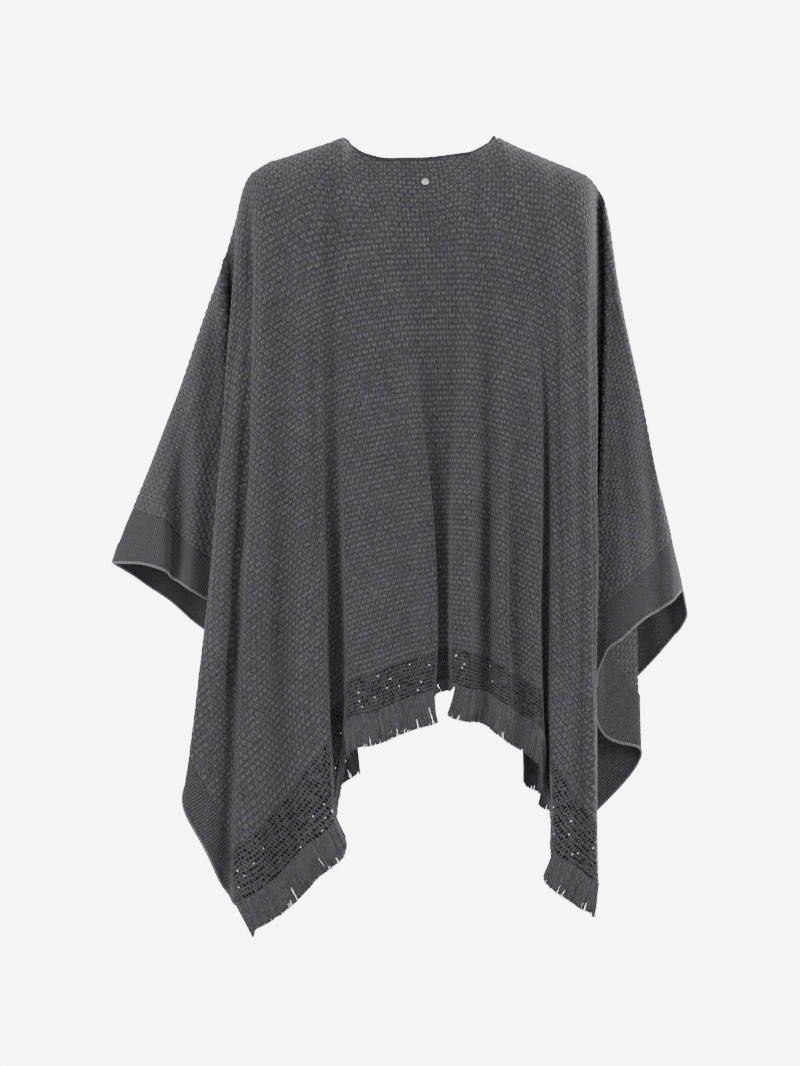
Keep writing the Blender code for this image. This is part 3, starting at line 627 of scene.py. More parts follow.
def creased(points, face, cloth):
    """Pushes the surface in and out along its creases, and gives it a faint unevenness."""
    x, y, z = points[..., 0], points[..., 1], points[..., 2]
    push = np.zeros_like(x)
    for crease in cloth.creases:
        way = np.array([crease.x_to - crease.x_from, crease.z_to - crease.z_from], float)
        share = ((x - crease.x_from) * way[0] + (z - crease.z_from) * way[1]) / (way @ way)
        off = ((x - crease.x_from) * way[1] - (z - crease.z_from) * way[0]) / math.hypot(*way)
        fade = np.clip(np.minimum(share, 1 - share) * 4, 0, 1)
        fade = fade * fade * (3 - 2 * fade)
        push -= crease.depth * fade * np.exp(-0.5 * (off / crease.breadth * 2) ** 2)
    facing = np.clip(np.abs(face[..., 1]) * 2 - 0.4, 0, 1)
    uneven = 0.5 * np.sin(x / 17 + z / 41 + 1.3) + 0.5 * np.sin(z / 29 - x / 53 + y / 37)
    return points + face * (CREASE_GAIN * push * facing + UNEVENNESS * uneven)[..., None]


def settle(cloth, us, vs):
    """A creased piece of a panel at these flat places, with its outward directions."""
    points, face = lay(cloth, us, vs)
    points = creased(points, face, cloth)
    return points, outward_of(points, cloth.outward)


# %% [markdown]
# ## Yarn and stitches as materials
#
# The yarn is a marl: charcoal and paler fibres spun together, so that close up every stitch is
# flecked, and from afar the cloth is an even dark grey with a cool cast. The arms are coloured a
# little paler, as painted light on the sleeves. The effects that several materials share are node
# groups. One gives the marl's colour, and one each the stitch patterns: bumps with two short upright
# legs of yarn, fine ribs, and the twist of a single yarn. They read the stitch counts stored with
# each piece, so the pattern stays in step with the modelled relief. The patterns also give masks for
# painted shade in the hollows and a painted highlight on the raised yarn.

# %% Node tools


class Wires:
    """Short ways to place and join shader nodes in one tree."""

    def __init__(self, tree):
        self.tree = tree
        self.column = 0

    def add(self, kind, **settings):
        node = self.tree.nodes.new(kind)
        self.column += 1
        node.location = (180 * (self.column % 12) - 1100, -230 * (self.column // 12))
        for key, value in settings.items():
            setattr(node, key, value)
        return node

    def feed(self, socket, value):
        if isinstance(value, bpy.types.NodeSocket):
            self.tree.links.new(value, socket)
        elif value is not None:
            socket.default_value = value

    def maths(self, operation, *values):
        node = self.add("ShaderNodeMath", operation=operation)
        for socket, value in zip(node.inputs, values):
            self.feed(socket, value)
        return node.outputs[0]

    def soften(self, value, low, high, start=0.0, end=1.0):
        node = self.add("ShaderNodeMapRange", interpolation_type="SMOOTHSTEP")
        for socket, given in zip(node.inputs, (value, low, high, start, end)):
            self.feed(socket, given)
        return node.outputs[0]

    def noise(self, vector, scale, detail=2.0, roughness=0.5):
        node = self.add("ShaderNodeTexNoise")
        for key, given in (("Vector", vector), ("Scale", scale), ("Detail", detail), ("Roughness", roughness)):
            self.feed(node.inputs[key], given)
        return node.outputs["Fac"]

    def mix(self, share, one, two, blend="MIX"):
        node = self.add("ShaderNodeMix", data_type="RGBA", blend_type=blend)
        for key, given in ((0, share), (6, one), (7, two)):
            self.feed(node.inputs[key], given)
        return node.outputs[2]


def new_group(name, inputs, outputs):
    """An empty node group with these sockets: its tree, wires, and input and output nodes."""
    tree = bpy.data.node_groups.new(name, "ShaderNodeTree")
    for label, kind, value in inputs:
        socket = tree.interface.new_socket(label, in_out="INPUT", socket_type=kind)
        if value is not None:
            socket.default_value = value
    for label, kind in outputs:
        tree.interface.new_socket(label, in_out="OUTPUT", socket_type=kind)
    wires = Wires(tree)
    return tree, wires, wires.add("NodeGroupInput"), wires.add("NodeGroupOutput")


FLOAT, VECTOR, COLOUR = "NodeSocketFloat", "NodeSocketVector", "NodeSocketColor"

# %% Marl colour


def marl_group():
    tree, w, given, out = new_group(
        "marl_colour",
        [
            ("Dark", COLOUR, (0.04, 0.04, 0.045, 1)),
            ("Light", COLOUR, (0.2, 0.2, 0.21, 1)),
            ("Fleck Scale", FLOAT, 600.0),
            ("Cloudiness", FLOAT, 0.25),
            ("Painted Arm Light", FLOAT, 0.34),
        ],
        [("Colour", COLOUR), ("Grain", FLOAT)],
    )
    place = w.add("ShaderNodeTexCoord").outputs["Object"]
    fleck = w.noise(place, given.outputs["Fleck Scale"], 4.0, 0.8)
    flecked = w.soften(fleck, 0.38, 0.64)
    cloud = w.noise(place, 22.0, 2.0)
    cloud = w.maths("MULTIPLY", w.maths("SUBTRACT", cloud, 0.5), given.outputs["Cloudiness"])
    where = w.add("ShaderNodeSeparateXYZ")
    w.feed(where.inputs[0], place)
    # Painted light: the sleeves are coloured paler than the body, standing in for the light that falls on them.
    arms = w.soften(w.maths("ABSOLUTE", where.outputs[0]), 0.215, 0.262)
    arms = w.maths("MULTIPLY", arms, w.soften(where.outputs[2], -0.64, -0.56))
    arm_light = w.maths("MULTIPLY", arms, given.outputs["Painted Arm Light"])
    share = w.maths("ADD", w.maths("ADD", flecked, cloud), arm_light)
    plain = w.mix(share, given.outputs["Dark"], given.outputs["Light"])
    tint = w.mix(w.soften(w.noise(place, 95.0, 2.0), 0.35, 0.65), (0.98, 0.96, 1.08, 1), (1.03, 1.01, 0.92, 1))
    w.feed(out.inputs["Colour"], w.mix(1.0, plain, tint, "MULTIPLY"))
    w.feed(out.inputs["Grain"], fleck)
    return tree


# %% Stitch patterns


def bump_group():
    """Staggered bumps, each one stitch wide and one row tall: two upright legs of yarn, side by side. It also gives
    masks for a painted highlight on the legs, stronger on some bumps than others, and for painted shade in the
    hollows round and between the bumps.
    """
    tree, w, given, out = new_group(
        "bump_stitch", [("Stitches", VECTOR, None)], [("Leg Highlight", FLOAT), ("Hollow Shade", FLOAT), ("Height", FLOAT)]
    )
    parts = w.add("ShaderNodeSeparateXYZ")
    w.feed(parts.inputs[0], given.outputs["Stitches"])
    x, y = parts.outputs[0], w.maths("ADD", parts.outputs[1], 1 / 6)
    row = w.maths("FLOOR", y)
    odd = w.maths("MULTIPLY", w.maths("FLOORED_MODULO", row, 2.0), 0.5)
    dx = w.maths("SUBTRACT", w.maths("FRACT", w.maths("ADD", w.maths("ADD", x, odd), 0.5)), 0.5)
    dy = w.maths("SUBTRACT", w.maths("FRACT", y), 0.5)
    side = w.maths("ABSOLUTE", dx)
    slanted = w.maths("ADD", side, w.maths("MULTIPLY", dy, 0.12))
    leg = w.soften(w.maths("ABSOLUTE", w.maths("SUBTRACT", slanted, 0.19)), 0.17, 0.04)
    short = w.soften(w.maths("ABSOLUTE", dy), 0.36, 0.1)
    legs = w.maths("MULTIPLY", leg, short)
    over, down = w.maths("DIVIDE", dx, 0.5), w.maths("DIVIDE", dy, 0.54)
    away = w.maths("SQRT", w.maths("ADD", w.maths("POWER", over, 2.0), w.maths("POWER", down, 2.0)))
    which = w.add("ShaderNodeCombineXYZ")
    w.feed(which.inputs[0], w.maths("FLOOR", w.maths("ADD", w.maths("ADD", x, odd), 0.5)))
    w.feed(which.inputs[1], row)
    chance = w.add("ShaderNodeTexWhiteNoise", noise_dimensions="2D")
    w.feed(chance.inputs["Vector"], which.outputs[0])
    # A painted highlight on the legs, stronger on some bumps than on others.
    w.feed(out.inputs["Leg Highlight"], w.maths("MULTIPLY", legs, w.soften(chance.outputs["Value"], 0.0, 1.0, 0.35, 1.3)))
    # Painted shade in the hollows round each bump and in the thin line between its legs.
    between = w.maths("MULTIPLY", w.soften(side, 0.1, 0.0), 0.5)
    w.feed(out.inputs["Hollow Shade"], w.maths("MAXIMUM", w.soften(away, 0.62, 1.05), between))
    w.feed(out.inputs["Height"], w.maths("SUBTRACT", legs, w.soften(side, 0.09, 0.0)))
    return tree


def rib_group():
    """Fine ribs along the rows, each made of a chain of small loops."""
    tree, w, given, out = new_group(
        "rib_stitch", [("Stitches", VECTOR, None)], [("Crest", FLOAT), ("Height", FLOAT)]
    )
    parts = w.add("ShaderNodeSeparateXYZ")
    w.feed(parts.inputs[0], given.outputs["Stitches"])
    x, y = parts.outputs[0], parts.outputs[1]
    wave = w.maths("COSINE", w.maths("MULTIPLY", y, 2 * math.pi))
    slant = w.maths("ABSOLUTE", w.maths("SUBTRACT", w.maths("FRACT", y), 0.5))
    loop = w.maths("SINE", w.maths("MULTIPLY", w.maths("ADD", x, slant), 2 * math.pi * 1.4))
    w.feed(out.inputs["Crest"], w.soften(wave, -0.6, 0.9))
    w.feed(out.inputs["Height"], w.maths("ADD", w.maths("MULTIPLY", wave, 0.4), w.maths("MULTIPLY", loop, 0.35)))
    return tree


def twist_group():
    """The slanting plies of a spun yarn. Stitches holds the turns along and around it."""
    tree, w, given, out = new_group(
        "yarn_twist", [("Stitches", VECTOR, None), ("Plies", FLOAT, 2.0)], [("Ply", FLOAT), ("Height", FLOAT)]
    )
    parts = w.add("ShaderNodeSeparateXYZ")
    w.feed(parts.inputs[0], given.outputs["Stitches"])
    turn = w.maths("ADD", parts.outputs[0], w.maths("MULTIPLY", parts.outputs[1], given.outputs["Plies"]))
    ply = w.maths("SINE", w.maths("MULTIPLY", turn, 2 * math.pi))
    w.feed(out.inputs["Ply"], w.soften(ply, -0.7, 0.9))
    w.feed(out.inputs["Height"], ply)
    return tree


MARL, BUMPS, RIBS, TWIST = marl_group(), bump_group(), rib_group(), twist_group()
print("node groups:", MARL.name, BUMPS.name, RIBS.name, TWIST.name)

# %% Yarn materials


def yarn_material(name, dark, light, stitch=None, painted_shade=0.5, painted_highlight=0.0, relief=0.4, sheen=0.35, fleck=520.0):
    """Marl yarn knitted in one stitch, with painted shade darkening the hollows and a painted highlight paling the
    raised yarn, by the two amounts given after the stitch.
    """
    made = bpy.data.materials.new(name)
    made.use_nodes = True
    w = Wires(made.node_tree)
    shader = made.node_tree.nodes["Principled BSDF"]
    marl = w.add("ShaderNodeGroup", node_tree=MARL)
    marl.inputs["Dark"].default_value = (*dark, 1)
    marl.inputs["Light"].default_value = (*light, 1)
    marl.inputs["Fleck Scale"].default_value = fleck
    colour, height = marl.outputs["Colour"], w.maths("MULTIPLY", marl.outputs["Grain"], 0.8)
    if stitch is not None:
        count = w.add("ShaderNodeUVMap", uv_map="stitches").outputs[0]
        pattern = w.add("ShaderNodeGroup", node_tree=stitch)
        w.feed(pattern.inputs["Stitches"], count)
        height = w.maths("ADD", height, pattern.outputs["Height"])
        # Painted shade darkens the hollows and a painted highlight pales the raised yarn, standing in for how light
        # falls on the stitches.
        if stitch is BUMPS:
            low = w.maths("MULTIPLY", pattern.outputs["Hollow Shade"], painted_shade)
            high = w.maths("MULTIPLY", pattern.outputs["Leg Highlight"], painted_highlight)
        else:
            raised = pattern.outputs[0]
            low = w.maths("MULTIPLY", w.maths("SUBTRACT", 1.0, raised), painted_shade)
            high = w.maths("MULTIPLY", raised, painted_highlight)
        colour = w.mix(low, colour, tuple(0.35 * c for c in dark) + (1,))
        colour = w.mix(high, colour, tuple(2.1 * c for c in light) + (1,))
    w.feed(shader.inputs["Base Color"], colour)
    w.feed(shader.inputs["Roughness"], w.soften(marl.outputs["Grain"], 0.2, 0.8, 0.78, 0.96))
    shader.inputs["Specular IOR Level"].default_value = 0.25
    shader.inputs["Sheen Weight"].default_value = sheen
    shader.inputs["Sheen Roughness"].default_value = 0.45
    shader.inputs["Sheen Tint"].default_value = (0.75, 0.76, 0.8, 1)
    bump = w.add("ShaderNodeBump")
    bump.inputs["Strength"].default_value = relief
    bump.inputs["Distance"].default_value = 0.0009
    w.feed(bump.inputs["Height"], height)
    w.feed(shader.inputs["Normal"], bump.outputs[0])
    return made


CHARCOAL = (0.025, 0.0245, 0.0275)
ASH = (0.107, 0.105, 0.114)
BUMP_KNIT = yarn_material(
    "charcoal_bump_knit", CHARCOAL, ASH, BUMPS, painted_shade=0.24, painted_highlight=0.36, relief=0.7, fleck=560.0
)
RIB_KNIT = yarn_material(
    "charcoal_rib_knit", (0.026, 0.0255, 0.0285), (0.11, 0.108, 0.117), RIBS, painted_shade=0.4, painted_highlight=0.1, relief=0.55
)
NET_YARN = yarn_material("charcoal_net_yarn", (0.022, 0.022, 0.024), (0.105, 0.103, 0.109), relief=0.6, fleck=560.0)
# Painted shade: the floats behind the net are coloured near black, far darker than the same yarn elsewhere, for the
# shade inside the holes.
FLOAT_SHADE_YARN = yarn_material(
    "shaded_float_yarn", (0.008, 0.008, 0.01), (0.022, 0.022, 0.026), RIBS, relief=0.3, sheen=0.0
)
FRINGE_YARN = yarn_material(
    "charcoal_fringe_yarn", (0.036, 0.035, 0.039), (0.155, 0.152, 0.164), TWIST, 0.15, 0.05, relief=0.3, fleck=480.0
)
BINDING_YARN = yarn_material(
    "charcoal_binding_yarn", (0.03, 0.031, 0.035), (0.085, 0.087, 0.095), RIBS, painted_shade=0.35, relief=0.5
)
# Painted highlight: the selvedge cord is coloured about three times paler than the cloth, for the light line along
# the edge.
SELVEDGE_HIGHLIGHT_YARN = yarn_material(
    "selvedge_highlight_yarn", (0.085, 0.087, 0.095), (0.24, 0.243, 0.255), TWIST, 0.3, 0.1, relief=0.5, sheen=0.5
)


def bright_material(name, colour, roughness, metallic, coat):
    """Polished metal or cut glass, with faint wear in its roughness."""
    made = bpy.data.materials.new(name)
    made.use_nodes = True
    w = Wires(made.node_tree)
    shader = made.node_tree.nodes["Principled BSDF"]
    wear = w.noise(w.add("ShaderNodeTexCoord").outputs["Object"], 900.0, 3.0)
    w.feed(shader.inputs["Roughness"], w.soften(wear, 0.3, 0.8, roughness, roughness + 0.14))
    shader.inputs["Base Color"].default_value = (*colour, 1)
    shader.inputs["Metallic"].default_value = metallic
    shader.inputs["Coat Weight"].default_value = coat
    shader.inputs["Coat Roughness"].default_value = 0.03
    return made


SILVER = bright_material("polished_silver", (0.82, 0.82, 0.83), 0.14, 1.0, 0.0)
CRYSTAL = bright_material("clear_cut_stone", (0.86, 0.88, 0.92), 0.04, 0.85, 1.0)

# %% [markdown]
# ## Meshes
#
# All cloth pieces are sheets of quads laid on the surface. Their shading directions are worked out
# over the whole panel before it is parted into pieces, so that no line shows where two pieces meet.

# %% Mesh tools


def placed(name, data):
    """A new object that shows this mesh, light or camera."""
    made = bpy.data.objects.new(name, data)
    bpy.context.scene.collection.objects.link(made)
    return made


def read_at(places, known, values):
    """Points read off a row of points, by a measure that is known for each."""
    return np.stack([np.interp(places, known, values[:, k]) for k in range(3)], axis=1)


def whole_mesh(name, points, faces, counts, finish, directions=None):
    """A mesh from arrays: points in mm, quads, stitch counts per point, and shading directions."""
    mesh = bpy.data.meshes.new(name)
    faces = np.asarray(faces)
    sides = faces.shape[1]
    mesh.vertices.add(len(points))
    mesh.vertices.foreach_set("co", (np.asarray(points, np.float32) * MM).ravel())
    mesh.loops.add(faces.size)
    mesh.loops.foreach_set("vertex_index", faces.ravel().astype(np.int32))
    mesh.polygons.add(len(faces))
    mesh.polygons.foreach_set("loop_start", np.arange(0, faces.size, sides, dtype=np.int32))
    mesh.polygons.foreach_set("use_smooth", np.ones(len(faces), bool))
    mesh.update(calc_edges=True)
    layer = mesh.uv_layers.new(name="stitches")
    layer.data.foreach_set("uv", np.asarray(counts, np.float32)[faces.ravel()].ravel())
    mesh.materials.append(finish)
    mesh.validate()
    if directions is not None:
        mesh.normals_split_custom_set_from_vertices(np.asarray(directions, np.float32))
    print(f"{name}: {(sides - 2) * len(faces)} triangles")
    return placed(name, mesh)


def quads_of(rows, columns, flip):
    """The quads of a grid of points, as point numbers, wound to face outward."""
    start = (np.arange(rows - 1)[:, None] * columns + np.arange(columns - 1)).reshape(-1)
    ring = [start, start + 1, start + columns + 1, start + columns]
    return np.stack(ring[::-1] if flip else ring, axis=1)


def sheet_piece(name, points, face, counts, finish, keep=None):
    """A sheet of quads over a laid grid, with the faces that keep marks."""
    rows, columns = points.shape[:2]
    over, down = np.diff(points, axis=1)[:-1], np.diff(points, axis=0)[:, :-1]
    faces = quads_of(rows, columns, np.sum(np.cross(over, down) * face[:-1, :-1]) < 0)
    if keep is not None:
        faces = faces[keep.reshape(-1)]
    used, faces = np.unique(faces, return_inverse=True)
    faces = faces.reshape(-1, 4)
    points, counts, face = points.reshape(-1, 3)[used], counts.reshape(-1, 2)[used], face.reshape(-1, 3)[used]
    return whole_mesh(name, points, faces, counts, finish, face)


def stitch_counts(us, vs, wide, tall):
    """How many stitches across and down each place of a laid grid is."""
    return np.stack(np.meshgrid(us / wide, vs / tall), axis=2)


CUTS, GOING = [], {}


def hand_in(piece, slot, *nodes):
    """Makes a piece ride on the poncho and hides these solids, which it replaces. slot is not used."""
    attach(piece, "root")
    if nodes:
        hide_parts(*nodes)
    return piece


def cut(piece, us, vs, share=1.0):
    """Notes the flat size of a sheet laid on these places, and how much of that is really cloth."""
    CUTS.append((piece, (us[-1] - us[0]) * MM, (vs[-1] - vs[0]) * MM, share))
    GOING[piece] = []
    return piece


# %% [markdown]
# ## The bump knit
#
# The body of the cloth is a tuck pattern: rows of round bumps, each row set half a bump along from
# the one above. A bump is about 9 mm wide and 6 mm tall where the knit is slack. On the real
# cloth every bump is a stitch held over two rows, so it swells out and the yarn round it sinks in.
# Here each bump is a small dome in the mesh, four points wide and three rows tall. The last rows of
# points below the shoulder follow the hollow of the neck.

# %% Bump knit
BUMP_WIDE, BUMP_TALL, BUMP_RISE = 9.2, 6.4, 1.3
BORDER, OPENWORK, NET_MARGIN, LAP = 44.0, 46.0, 18.0, 3.0


def bump_rise(x, y):
    """How far the knit stands out at a place counted in bumps."""
    row = np.floor(y + 1 / 6 + 1e-6)
    dx = (x + 0.5 * (row % 2) + 0.5) % 1 - 0.5
    dy = (y + 1 / 6 + 1e-6) % 1 - 0.5
    return BUMP_RISE * np.sqrt(np.clip(1 - (dx / 0.5) ** 2 - (dy / 0.58) ** 2, 0, 1))


def bump_knit(cloth, left_border, right_border, parts):
    """The bump-knitted body of a panel, parted across into pieces, down to its openwork band."""
    low, high = -cloth.half + left_border, cloth.half - right_border
    wide = round((high - low) / BUMP_WIDE)
    tall = round((cloth.length - OPENWORK) / BUMP_TALL)
    xs, ys = np.arange(4 * wide + 1) / 4, np.arange(3 * tall + 1) / 3
    us = low + xs * (high - low) / wide
    vs = ys * (cloth.length - OPENWORK) / tall
    points, face = settle(cloth, us, vs)
    x, y = np.meshgrid(xs, ys)
    y = np.maximum(y, np.interp(us, cloth.u[0], cloth.v[0])[None] / vs[-1] * tall)
    points = points + face * bump_rise(x, y)[..., None]
    face = outward_of(points, cloth.outward)
    counts = np.stack([x, y], axis=2)
    gone = cut_away(cloth, us, vs)
    keep = ~(gone[1:, 1:] & gone[:-1, 1:] & gone[1:, :-1] & gone[:-1, :-1])
    made = []
    cuts = [round(k * wide / parts) * 4 for k in range(parts + 1)]
    for k, (a, b) in enumerate(zip(cuts, cuts[1:])):
        name = f"{cloth.node}_bump_knit" + (f"_{k + 1}" if parts > 1 else "")
        span = slice(a, b + 1)
        piece = sheet_piece(name, points[:, span], face[:, span], counts[:, span], BUMP_KNIT, keep[:, a:b])
        hand_in(piece, "knit", cloth.node)
        made.append(cut(piece, us[a : b + 1], vs, np.clip(keep[:, a:b].mean() + 0.02, 0.3, 1)))
    return made


BACK_KNIT = bump_knit(BACK, BORDER, BORDER, 3)
LEFT_KNIT, RIGHT_KNIT = (bump_knit(cloth, 0.0, BORDER, 1) for cloth in (LEFT, RIGHT))

# %% [markdown]
# ## Ribbed borders
#
# Down each side edge the pattern stops and a border of fine ribs follows, about 45 mm wide. The
# ribs run straight out to the edge, so on the real cloth they stop it from curling. They are raised
# in the mesh, two rows of points to a rib.

# %% Borders
RIB_PITCH, RIB_RISE, RIB_STEP, LAP_DEPTH = 3.2, 0.55, 2.5, 0.9
EDGES = (
    (BACK, -1, "_left", "back_left"),
    (BACK, 1, "_right", "back_right"),
    (LEFT, 1, "", "front_left"),
    (RIGHT, 1, "", "front_right"),
)


def rib_border(name, cloth, inner, outer, top, bottom):
    """Ribs between two flat places across and two down the panel. They lap 3 mm under the bump knit."""
    under = inner + math.copysign(LAP, inner - outer)
    us = np.linspace(min(under, outer), max(under, outer), max(3, round(abs(outer - under) / RIB_STEP)))
    ribs = max(2, round((bottom - top) / RIB_PITCH))
    vs = np.linspace(top, bottom, 2 * ribs + 1)
    points, face = settle(cloth, us, vs)
    wave = np.where(np.arange(len(vs)) % 2 == 0, 1.0, -1.0)[:, None]
    lap = np.clip(np.abs(us - under) / LAP - 1, 0, 1)[None]
    points = points + face * (RIB_RISE * wave * lap - LAP_DEPTH * (1 - lap))[..., None]
    counts = stitch_counts(us, vs - top, RIB_PITCH, (bottom - top) / ribs)
    piece = sheet_piece(name, points, outward_of(points, cloth.outward), counts, RIB_KNIT)
    return hand_in(piece, "knit", cloth.node), us, vs


for cloth, side, end, _ in EDGES:
    edge, hem = side * cloth.half, cloth.length - OPENWORK
    name = f"{cloth.node}_rib_border{end}"
    body = cut(*rib_border(name, cloth, edge - side * (BORDER + 1), edge, 0, hem))
    foot = rib_border(name + "_foot", cloth, edge - side * (NET_MARGIN + 1), edge, hem, cloth.length)
    GOING[body].append(foot[0])

# %% [markdown]
# ## Openwork bands
#
# Above each hem lies a band of net: yarn carried over so that small staggered holes are left. It
# is a real net here, with its holes open, and no two holes are quite alike. Behind them run the
# floats of the same yarn, coloured near black as painted shade, so the holes look black against a
# pale background too.
# The inside of the hem shows a plain knitted layer.

# %% Net
HOLE_WIDE, HOLE_TALL, NET_RISE, LAYER_STITCH = 5.2, 4.7, 0.8, 3.0
NET_LAYERS = (("floats", 1.8, FLOAT_SHADE_YARN), ("floats_inside", 2.4, RIB_KNIT))
PANELS = ((BACK, "back"), (LEFT, "front_left"), (RIGHT, "front_right"))


def net_span(cloth):
    """Where a panel's net starts and ends across. A front has no border at its open edge."""
    return (NET_MARGIN - cloth.half if cloth is BACK else -cloth.half), cloth.half - NET_MARGIN


def net_band(name, cloth):
    """The net of a panel, with the layers behind it."""
    low, high = net_span(cloth)
    wide = round((high - low) / HOLE_WIDE)
    tall = round(OPENWORK / HOLE_TALL)
    us = np.linspace(low, high, 4 * wide + 1)
    vs = np.linspace(cloth.length - OPENWORK, cloth.length, 4 * tall + 1)
    points, face = settle(cloth, us, vs)
    column, row = np.meshgrid(np.arange(4 * wide), np.arange(4 * tall))
    shifted = (column + 2 * (row // 4 % 2)) % 4
    hole = np.isin(shifted, (1, 2)) & np.isin(row % 4, (1, 2)) & (column > 1) & (column < 4 * wide - 2)
    touched = np.zeros(points.shape[:2])
    for dr in (0, 1):
        for dc in (0, 1):
            touched[dr : dr + 4 * tall, dc : dc + 4 * wide] += hole
    rise = NET_RISE * np.where(touched == 0, 1.0, 0.1)
    over, down = np.gradient(points, axis=1), np.gradient(points, axis=0)
    corner_column, corner_row = np.meshgrid(np.arange(4 * wide + 1), np.arange(4 * tall + 1))
    sidestep = 2 * (np.minimum(corner_row, 4 * tall - 1) // 4 % 2)
    phase = (corner_column + sidestep) % 4
    dice = np.random.default_rng(len(us))
    swell = dice.uniform(-0.6, 0.35, (tall + 1, wide + 2))[corner_row // 4, (corner_column + sidestep) // 4]
    swell *= touched > 0
    wider = np.where(phase == 1, -1.0, np.where(phase == 3, 1.0, 0.0)) * swell
    taller = np.where(corner_row % 4 == 1, -1.0, np.where(corner_row % 4 == 3, 1.0, 0.0)) * swell * 0.7
    slip = dice.normal(0, 0.13, (2, *wider.shape))
    slip[:, [0, -1]] = slip[:, :, [0, -1]] = 0
    shift = over * (wider + slip[0])[..., None] + down * (taller + slip[1])[..., None]
    points = points + shift + face * (rise + dice.normal(0, 0.1, rise.shape))[..., None]
    shading = outward_of(points, cloth.outward)
    piece = sheet_piece(name, points, shading, stitch_counts(us, vs, HOLE_WIDE, HOLE_TALL), NET_YARN, ~hole)
    band = [hand_in(piece, "knit", cloth.node)]
    us = np.clip(np.concatenate([[low - LAP], us[::4], [high + LAP]]), -cloth.half, cloth.half)
    vs = np.concatenate([[vs[0] - LAP], vs[::4]])
    points, face = settle(cloth, us, vs)
    counts = stitch_counts(us, vs, LAYER_STITCH, LAYER_STITCH)
    # The floats layer, coloured as painted shade, darkens the holes. The inside layer behind it is plain knit.
    for label, depth, finish in NET_LAYERS:
        layer = sheet_piece(f"{name}_{label}", points - face * depth, face, counts, finish)
        band.append(hand_in(layer, "knit", cloth.node))
    return band


NETS = [net_band(f"{label}_openwork", cloth) for cloth, label in PANELS]

# %% [markdown]
# ## Rounded edges
#
# The selvedge is a chain of yarn along each side edge, coloured much paler than the cloth as a
# painted highlight where the edge catches the light. The front edges and the back neck are
# bound with one rolled band of darker knit. Each is a round cord of knit that follows the edge of
# the cloth. Along the shoulders and arms a narrow joining strip runs from the back to each front,
# and a fine linked seam stands up in its middle.

# %% Cords
SELVEDGE_WIDE, SELVEDGE_THICK, SELVEDGE_PITCH, SELVEDGE_STEP = 3.4, 2.8, 3.4, 1.7
EDGE_PROBE = 2.5


def tube(name, path, wide, thick, sides, pitch, relief, finish, flat_to=None):
    """A closed cord along a path, relief deep in its stitches, flattened against the cloth."""
    path = np.asarray(path, float)
    along = unit(np.gradient(path, axis=0))
    square = unit(flat_to - along * np.sum(flat_to * along, axis=1, keepdims=True))
    sideways = np.cross(along, square)
    length = edge_lengths(path)
    turn = np.arange(sides) / sides * 2 * math.pi
    wave = 1 + relief * np.cos(2 * math.pi * length[:, None] / pitch + 2 * turn[None])
    ring = (
        sideways[:, None] * (0.5 * wide * np.cos(turn))[None, :, None]
        + square[:, None] * (0.5 * thick * np.sin(turn))[None, :, None]
    )
    points = path[:, None] + ring * wave[..., None]
    rows = len(path)
    faces = []
    for k in range(sides):
        a = np.arange(rows - 1) * sides + k
        b = np.arange(rows - 1) * sides + (k + 1) % sides
        faces.append(np.stack([a, b, b + sides, a + sides], axis=1))
    faces = np.concatenate(faces)
    counts = np.stack(np.broadcast_arrays((length / pitch)[:, None], (np.arange(sides) / sides)[None]), axis=2)
    ends = np.stack([path[0], path[-1]])
    points = np.concatenate([points.reshape(-1, 3), ends])
    counts = np.concatenate([counts.reshape(-1, 2), [[0, 0], [0, 0]]])
    caps = []
    for k in range(0, sides, 2):
        caps.append([rows * sides, (k + 2) % sides, k + 1, k])
        last = (rows - 1) * sides
        caps.append([rows * sides + 1, last + k, last + k + 1, last + (k + 2) % sides])
    return whole_mesh(name, points, np.concatenate([faces, caps]), counts, finish)


def edge_path(cloth, at, step):
    """The creased edge of a panel from top to bottom, its outward directions and its way out."""
    vs = np.linspace(0, cloth.length, round(cloth.length / step))
    side = np.sign(at)
    points, face = settle(cloth, np.sort([at, at - EDGE_PROBE * side]), vs)
    edge, inner = (points[:, 1], points[:, 0]) if side > 0 else (points[:, 0], points[:, 1])
    return edge, face[:, 0], unit(edge - inner)


SELVEDGES = []
for cloth, side, _, label in EDGES:
    edge, face, out = edge_path(cloth, side * cloth.half, SELVEDGE_STEP)
    size = (SELVEDGE_WIDE, SELVEDGE_THICK, 8, SELVEDGE_PITCH, 0.1)
    piece = tube(f"{label}_selvedge", edge + out * 0.4, *size, SELVEDGE_HIGHLIGHT_YARN, flat_to=face)
    SELVEDGES.append(hand_in(piece, "yarn", cloth.node))

# %% Neck binding and shoulder seams
BINDING, BINDING_GAP, BINDING_STEP, EDGE_STEP = 5.2, 0.3, 2.4, 3.0
SEAM_LAP, SEAM_ROWS, SEAM_POINTS = 5.0, 300, 11


def top_edge(cloth):
    """The creased top edge of a panel, its way up and its outward directions."""
    points = creased(cloth.grid, outward_of(cloth.grid, cloth.outward), cloth)
    return points[0], unit(points[0] - points[1]), outward_of(points, cloth.outward)[0]


left_edge, left_face, left_out = edge_path(LEFT, -LEFT.half, EDGE_STEP)
right_edge, right_face, right_out = edge_path(RIGHT, -RIGHT.half, EDGE_STEP)
back_top, back_up, back_face = top_edge(BACK)
neck = np.abs(back_top[:, 0]) < NECK_HALF
off = 0.5 * BINDING + BINDING_GAP
binding_path = np.concatenate(
    [(left_edge + left_out * off)[::-1], (back_top + back_up * off)[neck], right_edge + right_out * off]
)
binding_face = np.concatenate([left_face[::-1], back_face[neck], right_face])
length = edge_lengths(binding_path)
places = np.linspace(0, length[-1], round(length[-1] / BINDING_STEP))
path, facing = read_at(places, length, binding_path), read_at(places, length, binding_face)
neck_roll = tube("rolled_neck_binding", path, BINDING, BINDING, 10, 4.8, 0.05, BINDING_YARN, flat_to=facing)
hand_in(neck_roll, "yarn", "neck_binding")

